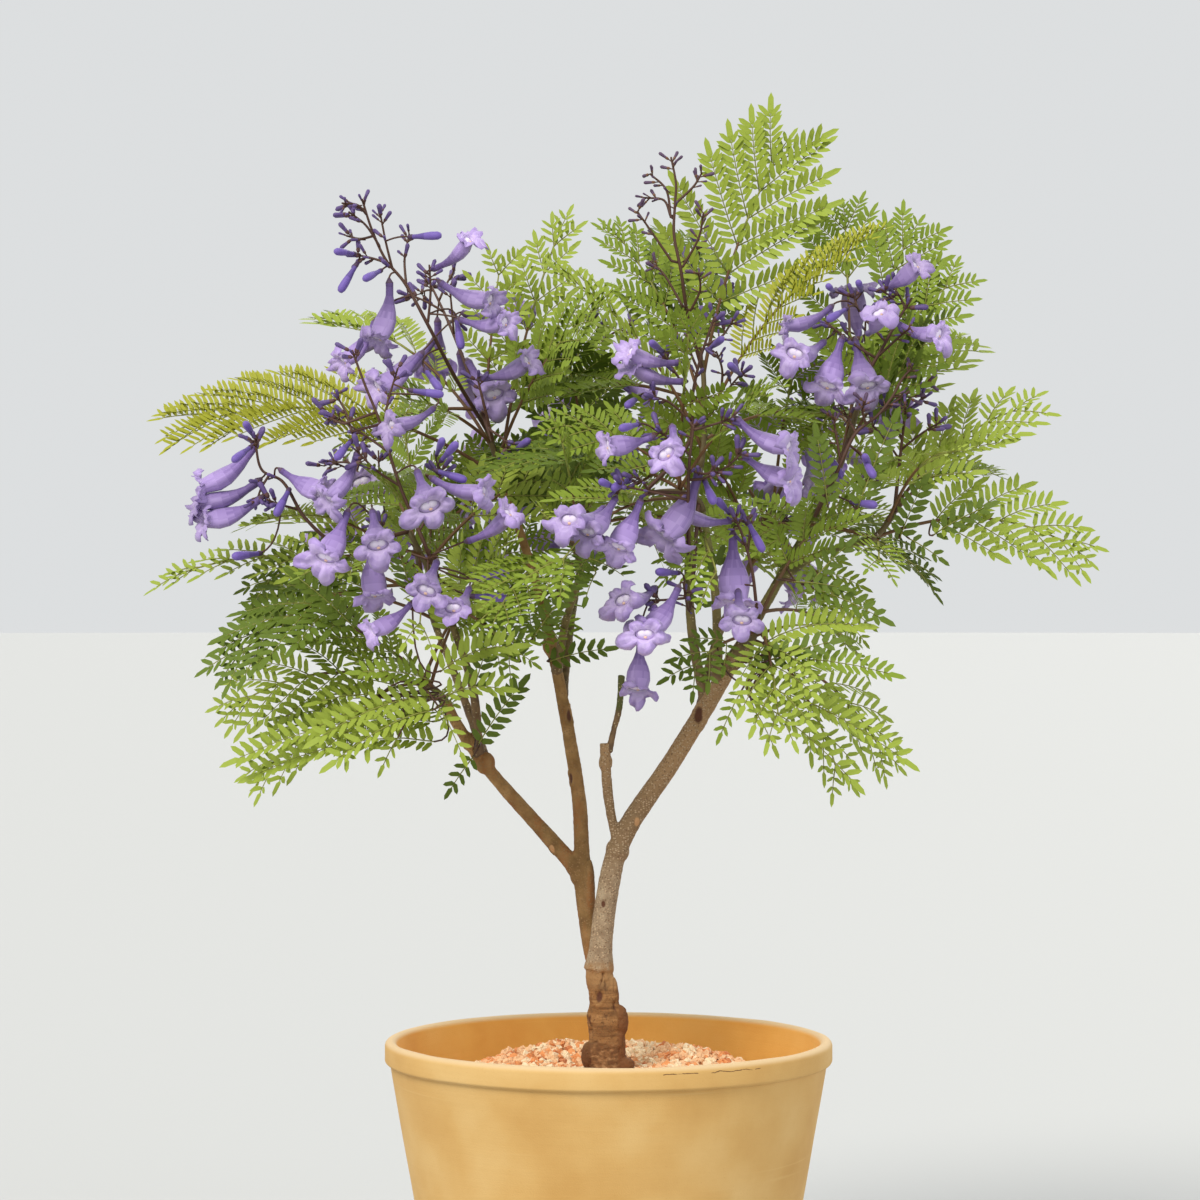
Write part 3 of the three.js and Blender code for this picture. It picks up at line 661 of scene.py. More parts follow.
# %% Limb lines
LIMBS = {
    "trunk": ([(-1.5, -12, 151), (-1.5, -11.5, 180), (-3.5, -10, 197), (-5, -9, 209)], (9.6, 6.3)),
    "right_bough": (
        [(-5, -9, 206), (-1.5, -8, 239.5), (6.4, -7, 272), (32, -8, 312), (53.6, -8, 347), (65, -8, 367)],
        (6, 4.3),
    ),
    "left_stem": ([(-5.8, -5, 203), (-10, 5, 228), (-14, 9, 257)], (5.3, 5)),
    "left_bough": (
        [(-14, 9, 254), (-35, 11, 277), (-64, 12, 310), (-80, 10, 334), (-84, 9, 343)],
        (4.4, 2.7),
    ),
    "centre_bough": (
        [(-13.5, 9, 253), (-15, 11, 289), (-22.4, 15, 336), (-35, 19, 395), (-53, 22, 452)],
        (4.2, 2),
    ),
    "stub_bough": ([(5, -7, 268), (0.5, -7, 290), (-1.4, -6, 309), (-1.8, -6, 322)], (2.3, 2.9)),
    "stub_shoot": ([(0, -6, 317), (2.5, -7, 328), (5.4, -8, 340), (6.7, -9, 357)], (1.6, 1.9)),
    "left_upright": ([(-67, 12, 314), (-69.7, 0, 349), (-80, -18, 384)], (2.7, 1.9)),
    "left_back_bough": ([(-62, 12, 308), (-74, 42, 338), (-92, 74, 380)], (2.7, 1.9)),
    "centre_front_bough": ([(-27, 16.5, 358), (-22, -8, 384), (-14, -38, 408)], (2.6, 1.8)),
    "centre_back_bough": ([(-24, 15.5, 345), (-20, 52, 382), (-14, 92, 420)], (2.6, 1.8)),
    "right_inner_bough": ([(56, -8, 351), (54, -25, 400), (47, -36, 442)], (2.9, 1.9)),
    "right_upper_bough": ([(50, -8, 341), (43, 4, 380), (42, 10, 430), (48, 15, 466)], (2.9, 1.9)),
    "right_outer_bough": ([(64, -8, 365), (87, -7, 405), (110, -6, 446), (118, -5, 463)], (3.3, 1.9)),
    "right_side_bough": ([(88, -7, 406), (108, -14, 419), (131, -20, 425)], (2.2, 1.7)),
    "right_back_bough": ([(46, -8, 335), (56, 34, 372), (75, 88, 410)], (2.7, 1.9)),
    "right_low_bough": ([(60, -8, 358), (67, -24, 364), (72, -36, 374)], (2.4, 1.8)),
}
THICK_LIMBS = ["trunk", "right_bough", "left_stem", "left_bough", "centre_bough", "stub_bough"]
SLIM_LIMBS = [name for name in LIMBS if name not in THICK_LIMBS]
SPAN_STEPS = 14


def smooth_line(points):
    """A centripetal Catmull-Rom curve through points, as a fine row of points."""
    points = [np.array(point, float) for point in points]
    row = [2 * points[0] - points[1], *points, 2 * points[-1] - points[-2]]
    line = []
    for before, start, end, after in zip(row, row[1:], row[2:], row[3:]):
        steps = ((before, start), (start, end), (end, after))
        gap, span, rest = (math.sqrt(np.linalg.norm(b - a)) for a, b in steps)
        leave = ((start - before) / gap - (end - before) / (gap + span)) * span + end - start
        arrive = ((after - end) / rest - (after - start) / (span + rest)) * span + end - start
        for t in np.arange(SPAN_STEPS) / SPAN_STEPS:
            bend = -3 * start + 3 * end - 2 * leave - arrive
            turn = 2 * start - 2 * end + leave + arrive
            line.append(start + leave * t + bend * t * t + turn * t**3)
    return np.array([*line, points[-1]])


def along(line):
    """Each point's share of the way along a line."""
    steps = np.linalg.norm(np.diff(line, axis=0), axis=1)
    return np.concatenate(([0], np.cumsum(steps))) / steps.sum()


LIMB_LINES = {name: smooth_line(way) for name, (way, _) in LIMBS.items()}
tallest = max(np.ptp(line[:, 2]) for line in LIMB_LINES.values())
print("limbs:", len(LIMB_LINES), "tallest", round(tallest), "mm")

# %% Sweep a limb
FLARE = 0.3
FLARE_POWER = 6
COLLAR = 0.28
COLLAR_REACH = 7.0


def limb_radii(name):
    """A limb's radius along its line: an even taper, the trunk's flare, and a collar at other feet."""
    foot, tip = LIMBS[name][1]
    share = along(LIMB_LINES[name])
    radii = foot + (tip - foot) * share
    if name == "trunk":
        return radii + foot * FLARE * (1 - share) ** FLARE_POWER
    length = np.linalg.norm(np.diff(LIMB_LINES[name], axis=0), axis=1).sum()
    collar = -COLLAR if name == "left_stem" else COLLAR
    return radii + collar * foot * np.exp(-((share * length / COLLAR_REACH) ** 2))


def swept(name):
    """A limb as a mesh: a poly curve with a round bevel, converted."""
    line, radii = LIMB_LINES[name], limb_radii(name)
    curve = bpy.data.curves.new(name + "_sweep", "CURVE")
    curve.dimensions = "3D"
    curve.bevel_depth = MM
    curve.bevel_resolution = 6
    curve.use_fill_caps = True
    spline = curve.splines.new("POLY")
    spline.points.add(len(line) - 1)
    for point, place, radius in zip(spline.points, line, radii):
        point.co = (*(place * MM), 1)
        point.radius = radius
    thing = bpy.data.objects.new(name + "_sweep", curve)
    bpy.context.scene.collection.objects.link(thing)
    only_select(thing)
    bpy.ops.object.convert(target="MESH")
    return bpy.context.object


# %% Join the limbs in one skin
BARK_VOXEL = 0.54
SLIM_VOXEL = 0.7


def ball(place, size, segments=20, rings=12):
    """A sphere pulled to a size along each axis, for a burl, a knot or a swelling."""
    bpy.ops.object.select_all(action="DESELECT")
    bpy.ops.mesh.primitive_uv_sphere_add(segments=segments, ring_count=rings, radius=1, location=place)
    thing = bpy.context.object
    thing.scale = size
    bpy.ops.object.transform_apply(location=True, rotation=True, scale=True)
    return thing


def one_skin(name, parts, voxel):
    """Parts joined and remeshed as one closed skin, then relaxed."""
    bpy.ops.object.select_all(action="DESELECT")
    for part in parts:
        part.select_set(True)
    bpy.context.view_layer.objects.active = parts[0]
    bpy.ops.object.join()
    thing = bpy.context.object
    thing.name = name
    skin = thing.modifiers.new("skin", "REMESH")
    skin.mode = "VOXEL"
    skin.voxel_size = voxel * MM
    relax = thing.modifiers.new("relax", "SMOOTH")
    relax.factor = 0.5
    relax.iterations = 10
    apply_all(thing)
    return thing


BURLS = [
    ((5.8, -15, 180.5), (4.5, 4.8, 8.4)),
    ((2.4, -12.5, 190), (2.9, 4.4, 13)),
    ((5.4, -15, 166), (3.3, 5, 15)),
    ((-9.5, -16, 163), (4.7, 5, 7.6)),
    ((7.6, -15.5, 158.6), (5.8, 5, 3.8)),
    ((0, -3, 164.5), (6, 7, 4.5)),
    ((-5, -9, 205.5), (6.3, 6.4, 4.4)),
    ((-8.4, -9.5, 203), (3.5, 4.5, 9)),
    ((-7.2, -11, 180), (3.3, 4.5, 18)),
    ((-8.8, -13, 182), (2.5, 3.4, 7)),
    ((-9.7, 4, 243), (2.9, 4.6, 19)),
    ((4.6, -7.5, 267), (6.2, 6, 7)),
    ((-14, 9, 253), (6, 6, 6.5)),
    ((-64, 12, 311), (5.4, 5, 6)),
    ((-72, 11, 322), (4.2, 4.2, 5)),
    ((-30, 17, 372), (4.4, 4.4, 6)),
    ((-1.6, -6, 312), (3.7, 3.6, 5)),
]
bark_parts = [swept(name) for name in THICK_LIMBS]
bark_parts += [ball(np.array(place) * MM, np.array(size) * MM) for place, size in BURLS]
bark = one_skin("bark_limbs", bark_parts, BARK_VOXEL)
slim = one_skin("slim_limbs", [swept(name) for name in SLIM_LIMBS], SLIM_VOXEL)
print("bark faces", len(bark.data.polygons), "slim faces", len(slim.data.polygons))

# %% [markdown]
# ## Bark relief
# The stump is old and wrinkled across, with cracks and crevices. Higher up the bark is young and
# smooth with small warts. Leaf scars are ovals with a raised rim, and knots are pale and raised. It
# could be sculpted by hand. Here vertices are moved along their normals by noise. Scars and crevices
# are read as pixels: a ray from the camera finds a scar's place, as if pressing a stamp on the stem,
# and an attribute marks it for the finish. In the crevices that mark is painted shade.

# %% Marks on the bark
SCARS = [
    (698, 716, 4.2, -0.9),
    (637, 822, 2.3, 0.7),
    (599, 997, 3.0, -1.4),
    (570, 715, 3.0, -0.8),
    (570, 778, 2.0, -0.6),
    (553, 660, 2.4, -0.7),
    (476, 752, 2.6, -0.8),
    (603, 904, 1.8, -0.5),
    (552, 848, 1.8, 0.4),
]
SCAR_OVAL = (1, 1, 0.62)
RIM_HEIGHT = 0.45
CREVICES = [
    [(614, 980), (617, 1003), (617, 1032), (622, 1064)],
    [(589, 1008), (591, 1030), (590, 1064)],
    [(604, 974), (602, 981), (599, 987)],
    [(604, 974), (607, 982), (607, 992)],
]
CREVICE_PLANE = -0.015
CREVICE_WIDTH = 1.5
CREVICE_DEPTH = 0.85
# How dark the crevices are painted: painted shade in the grooves.
CREVICE_PAINTED_SHADE = 0.85
IN_PLANE = (1, 0, 1)


def scar_at(thing, places, stray, across, down, size, depth):
    """A scar or knot at a pixel: each vertex's move in millimetres and its mark. A miss does nothing."""
    aim = Vector(in_picture(across, down, 0.0)) - CAMERA_PLACE
    hit, spot, _, _ = thing.ray_cast(CAMERA_PLACE, aim.normalized())
    if not hit:
        return 0.0, 0.0
    away = np.linalg.norm((places - np.array(spot)) * SCAR_OVAL, axis=1) / (size * MM)
    away *= 1 + 0.25 * stray
    inside = np.exp(-((away / 0.75) ** 4))
    rim = np.exp(-(((away - 1.1) / 0.28) ** 2))
    return depth * inside + RIM_HEIGHT * rim, -np.sign(depth) * inside


def crevice_at(places, stray, start, end):
    """How far each vertex is inside a crevice between two pixels, from 0 to 1."""
    start, end = in_picture(*start, CREVICE_PLANE), in_picture(*end, CREVICE_PLANE)
    flat = (end - start) * IN_PLANE
    share = np.clip(((places - start) * IN_PLANE) @ flat / (flat @ flat), 0, 1)
    aside = (places - start) * IN_PLANE - share[:, None] * flat
    away = np.linalg.norm(aside + stray[:, None] * (MM, 0, 0), axis=1)
    return np.exp(-((away / (0.5 * CREVICE_WIDTH * MM)) ** 2))


print("scars:", len(SCARS), "crevices:", len(CREVICES))

# %% Carve the bark
STUMP_TOP = 0.209
STUMP_FADE = 0.0025
CRACK = 0.06


def vertex_rows(mesh, kind):
    """Every vertex's place or normal, as rows of three."""
    rows = np.empty(3 * len(mesh.vertices), np.float32)
    mesh.vertices.foreach_get(kind, rows)
    return rows.reshape(-1, 3).astype(float)


def waves(places, scales, shift=(0, 0, 0)):
    """Noise at every place, in grains of about 1/scale metres along each axis."""
    return np.array([noise.noise(point) for point in (places * scales + shift).tolist()])


def bark_relief(places):
    """How far noise moves each vertex, in millimetres: aged bark on the stump, young bark above it."""
    wrinkle = waves(places, (70, 70, 620))
    crack = np.abs(waves(places, (190, 190, 90), (9, 0, 0)))
    lumps = waves(places, (130, 130, 90), (0, 0, 4))
    wart = waves(places, (620, 620, 480), (0, 0, 7))
    aged = 0.17 * wrinkle + 0.34 * lumps + 0.16 * wart - 0.3 * np.maximum(0.0, CRACK - crack) / CRACK
    young = 0.16 * lumps + 0.15 * wart + 0.05 * wrinkle
    old = 1 / (1 + np.exp((places[:, 2] - STUMP_TOP) / STUMP_FADE))
    return old * aged + (1 - old) * young


def carve(thing, scars, crevices):
    """Moves a limb's skin by noise and presses scars and crevices in it, marked by a scar attribute, which in
    the crevices is painted shade.
    """
    mesh = thing.data
    places, normals = vertex_rows(mesh, "co"), vertex_rows(mesh, "normal")
    move, scar_tone_and_painted_shade = bark_relief(places), np.zeros(len(places))
    stray = 2 * waves(places, (150, 150, 240), (0, 0, 2))
    patchy = np.clip(0.6 + 1.3 * waves(places, (110, 110, 150), (0, 0, 5)), 0, 1)
    for scar in scars:
        push, tone = scar_at(thing, places, stray, *scar)
        move += push
        scar_tone_and_painted_shade += tone
    for way in crevices:
        for start, end in zip(way, way[1:]):
            inside = crevice_at(places, stray, start, end) * (normals[:, 1] < 0) * patchy
            move -= CREVICE_DEPTH * inside
            # Painted shade: the crevices are marked to be painted dark.
            scar_tone_and_painted_shade = np.where(CREVICE_PAINTED_SHADE * inside > np.abs(scar_tone_and_painted_shade), CREVICE_PAINTED_SHADE * inside, scar_tone_and_painted_shade)
    places += normals * (move * MM)[:, None]
    mesh.vertices.foreach_set("co", places.astype(np.float32).ravel())
    attribute = mesh.attributes.new("scar", "FLOAT", "POINT")
    attribute.data.foreach_set("value", scar_tone_and_painted_shade.astype(np.float32))
    mesh.update()
    mesh.shade_smooth()
    print(thing.name, "moved by", round(move.min(), 2), "to", round(move.max(), 2), "mm")


carve(bark, SCARS, CREVICES)
carve(slim, [], [])

# %% [markdown]
# ## Bark finishes
# The right bough is grey-brown and thick with pale lenticels, the left ones are a warmer brown, and
# both are painted lighter higher up, as painted light against the crown's shade. The stump is dark and
# blotched, with a flaky foot and painted shade down its right side. A painter would do it by hand.
# Here it is noise and spots on Object coordinates, laid over each other by place, and the scar
# attribute adds dark scars, pale knots and painted shade in the crevices. The slim limbs go from brown
# to green as they get younger and higher, and the shoot on the stub is green at once.

# %% Old bark
GREY_BARK = [(0.3, paint(126, 104, 80)), (0.5, paint(148, 126, 99)), (0.7, paint(166, 146, 118))]
BROWN_BARK = [(0.3, paint(108, 78, 40)), (0.5, paint(126, 95, 53)), (0.72, paint(146, 112, 68))]
# Painted light: the higher brown bark is lighter, against the crown's shade.
HIGH_BARK_PAINTED_LIGHT = [(0.3, paint(134, 98, 54)), (0.5, paint(155, 118, 71)), (0.72, paint(175, 137, 89))]
STUMP_BARK = [(0.32, paint(108, 72, 36)), (0.5, paint(132, 91, 48)), (0.68, paint(156, 114, 68))]
FOOT_BARK = [(0.42, paint(102, 66, 34)), (0.54, paint(124, 84, 46)), (0.66, paint(156, 116, 76))]
GREY_SIDE = (-0.0063, -0.0053)
STUMP_EDGE = (0.219, 0.2125)
FOOT_EDGE = (0.173, 0.166)


def lenticels(tree, place, scale, size):
    """Small pale spots, some left out by chance."""
    mapping = add_node(tree, "ShaderNodeMapping", {"Vector": place, "Scale": (1, 1, 1.5)})
    grid = {"Vector": mapping.outputs["Vector"], "Scale": scale, "Randomness": 1.0}
    cells = add_node(tree, "ShaderNodeTexVoronoi", grid).outputs
    ends = {"Value": cells["Distance"], "From Min": size, "From Max": 0.5 * size}
    spot = add_node(tree, "ShaderNodeMapRange", ends).outputs["Result"]
    parts = add_node(tree, "ShaderNodeSeparateColor", {"Color": cells["Color"]})
    return math_of(tree, "MULTIPLY", spot, range_of(tree, parts.outputs["Red"], 0.35, 0.5))


def old_bark():
    """The thick limbs' bark: grey to the right, brown to the left, and dark on the stump."""
    material, tree, place = start_finish("old_bark", 0.88)
    x, y, z = axes_of(tree, place)
    mottle = noise_on(tree, place, 150, 6)
    streak = noise_on(tree, place, 120, 4, (1, 1, 0.25))
    fine = noise_on(tree, place, 1100, 3)
    spots = lenticels(tree, place, 760, 0.5)
    wrinkles = noise_on(tree, place, 130, 4, (0.6, 0.6, 5))
    flakes = noise_on(tree, place, 300, 5, (1, 1, 1.6))
    grey = layered(tree, ramp_of(tree, mottle, GREY_BARK), [
        (z, 0.242, 0.275, paint(134, 107, 75)),
        # Painted light: the grey bark is lighter higher up, against the crown's shade.
        (z, 0.285, 0.32, paint(162, 128, 90)),
        (fine, 0.56, 0.68, paint(104, 78, 54)),
    ])
    brown = layered(tree, ramp_of(tree, mottle, BROWN_BARK), [
        # Painted light: the brown bark is lighter higher up, against the crown's shade.
        (z, 0.262, 0.3, ramp_of(tree, mottle, HIGH_BARK_PAINTED_LIGHT)),
        (streak, 0.46, 0.7, paint(142, 95, 51)),
    ])
    foot = layered(tree, ramp_of(tree, flakes, FOOT_BARK), [
        (x, -0.0085, -0.0105, paint(98, 60, 28)),
        (x, 0.006, 0.009, paint(98, 62, 32)),
    ])
    stump = layered(tree, ramp_of(tree, wrinkles, STUMP_BARK), [
        (fine, 0.56, 0.7, paint(104, 68, 36)),
        (mottle, 0.44, 0.3, paint(84, 54, 26)),
        (z, 0.193, 0.203, paint(151, 113, 70)),
        (z, *FOOT_EDGE, foot),
        # Painted shade: the stump is darker down its right side, beside the burl.
        (x, 0.0036, 0.006, paint(112, 70, 34)),
    ])
    spotted_brown = blend_of(tree, spots, brown, paint(142, 110, 70))
    spotted_grey = blend_of(tree, spots, grey, paint(184, 158, 126))
    side = math_of(tree, "MULTIPLY_ADD", y, -0.6, x)
    edge = math_of(tree, "MULTIPLY_ADD", mottle, 0.014, z)
    scar = add_node(tree, "ShaderNodeAttribute", attribute_name="scar").outputs["Fac"]
    colour = layered(tree, spotted_brown, [
        (side, *GREY_SIDE, spotted_grey),
        (edge, *STUMP_EDGE, stump),
        # Dark scars, and painted shade in the crevices.
        (scar, 0.35, 0.95, paint(88, 50, 30)),
        (scar, -0.25, -0.7, paint(182, 138, 94)),
    ])
    end_finish(tree, colour, blend_of(tree, 0.4, fine, spots), 0.5 * MM, 0.8)
    return material


bark.data.materials.append(old_bark())
finish_piece(bark, "bark", *THICK_LIMBS)

# %% Young bark
BROWN_TWIG = [(0.3, paint(84, 60, 38)), (0.6, paint(126, 98, 66))]
GREEN_TWIG = [(0.3, paint(84, 82, 36)), (0.6, paint(118, 116, 56))]
STUB_MIDDLE = 0.004
STUB_REACH = 0.009


def young_bark():
    """The slim limbs' bark, greener with height and on the stub's shoot."""
    material, tree, place = start_finish("young_bark", 0.7)
    x, _, z = axes_of(tree, place)
    mottle = noise_on(tree, place, 170, 5)
    spots = lenticels(tree, place, 520, 0.3)
    green = ramp_of(tree, mottle, GREEN_TWIG)
    colour = layered(tree, ramp_of(tree, mottle, BROWN_TWIG), [(z, 0.33, 0.44, green)])
    fresh = layered(tree, colour, [(z, 0.337, 0.341, paint(84, 86, 34))])
    colour = blend_of(tree, math_of(tree, "COMPARE", x, STUB_MIDDLE, STUB_REACH), colour, fresh)
    colour = blend_of(tree, spots, colour, paint(176, 158, 118))
    end_finish(tree, colour, mottle, 0.4 * MM, 0.6)
    return material


slim.data.materials.append(young_bark())
finish_piece(slim, "young_wood", *SLIM_LIMBS)

# %% [markdown]
# ## Growing the foliage
# Each foliage mass grows on one shoot that carries on from a bough's tip. Its leading leaves reach the
# same tips as in the solids, and others fill in round the shoot by the golden angle. A letter deals
# out each leaf's colour: d for deep green, which is painted shade, m for middle, f for fresh, a
# yellow-green that is partly painted sunlight, and l for the lime of new leaves.

# %% Masses of foliage
MASSES = {
    "foliage_left_low": (
        "left_bough", (-98, 3, 354),
        [(-186, -20, 300, "f"), (-206, 12, 336, "f"), (-138, -72, 318, "f", 1.15), (-90, -66, 325, "f"),
         (-128, -50, 364, "f", 1.25)], 3,
    ),
    "foliage_left_side": (
        "left_upright", (-101, -30, 430),
        [(-236, -25, 405, "f", 0.6), (-200, -48, 356, "d"), (-150, -110, 392, "m"), (-36, -42, 350, "m"),
         (-92, -120, 372, "f")], 3,
    ),
    "foliage_left_top": (
        "centre_bough", (-68, 12, 500),
        [(-231, -15, 482, "l"), (-158, 80, 552, "f"), (-52, 25, 600, "f", 0.65), (-20, 42, 606, "f", 0.7),
         (-140, -70, 486, "m"), (-148, -10, 462, "m", 0.8)], 2,
    ),
    "foliage_middle": (
        "centre_front_bough", (-34, -56, 444),
        [(-58, -142, 382, "m"), (0, -112, 388, "d"), (-26, -84, 486, "m"), (-42, -124, 432, "f")], 2,
    ),
    "foliage_inner": (
        "right_inner_bough", (17, -56, 448),
        [(-34, -136, 400, "m"), (64, -132, 352, "m", 0.5), (-40, -40, 486, "m"), (40, -104, 540, "m")], 2,
    ),
    "foliage_inner_top": (
        "right_upper_bough", (49, 18, 520),
        [(-36, 0, 574, "f", 0.8), (-4, 44, 600, "m", 0.9), (96, 15, 643, "f", 1.35),
         (144, -22, 590, "l", 0.7), (34, 90, 600, "d")], 2,
    ),
    "foliage_right_top": (
        "right_outer_bough", (129, -9, 502),
        [(163, 22, 599, "m"), (189, 10, 570, "m"), (196, 66, 538, "f"), (124, 44, 610, "m")], 2,
    ),
    "foliage_right_side": (
        "right_side_bough", (145, -25, 440),
        [(251, -22, 417, "f"), (227, -8, 501, "f"), (206, 44, 462, "m"), (132, -94, 396, "m", 0.8),
         (172, -104, 470, "f")], 2,
    ),
    "foliage_right_low": (
        "right_low_bough", (76, -46, 392),
        [(150, -8, 302, "f", 0.85), (120, -48, 294, "f", 0.85), (140, 34, 356, "m", 0.8), (28, -72, 344, "d"),
         (84, -96, 326, "f", 1.2), (132, -60, 372, "m", 0.8)], 1,
    ),
    "foliage_left_back": (
        "left_back_bough", (-105, 102, 424),
        [(-202, 104, 384, "m"), (-160, 190, 440, "f"), (-82, 214, 430, "m"), (-120, 150, 520, "m")], 9,
    ),
    "foliage_middle_back": (
        "centre_back_bough", (-10, 114, 468),
        [(-18, 130, 566, "m"), (-46, 176, 530, "d"), (22, 216, 476, "f"), (-30, 206, 404, "m")], 9,
    ),
    "foliage_right_back": (
        "right_back_bough", (92, 114, 450),
        [(208, 116, 476, "f"), (162, 186, 440, "m"), (96, 218, 470, "d"), (140, 130, 368, "m"),
         (64, 196, 392, "f")], 9,
    ),
}
print("masses:", len(MASSES))

# %% Shoots
SHOOT_ENTRY = 2.0
SHOOT_BEND = 0.35


def arc(start, middle, end, t):
    """Points on a quadratic Bezier curve."""
    t = np.atleast_1d(t)[:, None]
    return (1 - t) ** 2 * start + 2 * t * (1 - t) * middle + t * t * end


def shoot_of(bough, tip):
    """The three control points of a mass's shoot, in millimetres."""
    line = LIMB_LINES[bough]
    heading = unit(line[-1] - line[-2])
    tip = np.array(tip, float)
    entry = line[-1] - SHOOT_ENTRY * heading
    ahead = line[-1] + SHOOT_BEND * np.linalg.norm(tip - line[-1]) * heading
    return entry, ahead, tip


SHOOTS = {name: shoot_of(bough, tip) for name, (bough, tip, _, _) in MASSES.items()}
print("shoots:", len(SHOOTS))

# %% Leaves of each mass
FIRST_FROND = 0.2
FROND_STRIDE = 3
FROND_LENGTH = 118.0
CLIMB = (18.0, 34.0)
CROWN_CENTRE = np.array((8.0, 15.0, 465.0))
CROWN_HALF = np.array((243.0, 205.0, 184.0))


def fill_tip(base, seed):
    """Where a leaf with no given tip ends, or None outside the crown."""
    bearing = seed * GOLDEN_ANGLE
    climb = math.radians(CLIMB[0] + CLIMB[1] * either(seed, 2))
    length = FROND_LENGTH * (0.85 + 0.2 * chance(seed, 3))
    tip = base + length * unit((math.cos(bearing), math.sin(bearing), math.tan(climb)))
    return tip if np.linalg.norm((tip - CROWN_CENTRE) / CROWN_HALF) < 1 else None


fronds = []
for number, (name, (_, _, tips, fill)) in enumerate(MASSES.items()):
    total = len(tips) + fill
    for place in range(total):
        share = (place * FROND_STRIDE % total) / total
        base = arc(*SHOOTS[name], FIRST_FROND + (1 - FIRST_FROND) * share)[0]
        seed = 100 * (number + 1) + place
        if place < len(tips):
            *tip, tint, breadth = (*tips[place], 1.0)[:5]
            fronds.append((base, np.array(tip, float), tint, breadth, seed))
        else:
            tip = fill_tip(base, seed)
            if tip is not None:
                fronds.append((base, tip, "dmmf"[seed % 4], 1.0, seed))
print("leaves:", len(fronds))

# %% [markdown]
# ## Flowering stems
# The flowers stand on branched stems, dark red-brown, that rise from the shoots. On the shown side
# each stem, twig and flower is put where the picture has it, as pixels at that cluster's own depth,
# and every flower's stalk runs to the nearest point of its stem. A flower is read as two pixels, its
# foot and its mouth: where they are closer than a flower is long, it looks that much at the viewer.

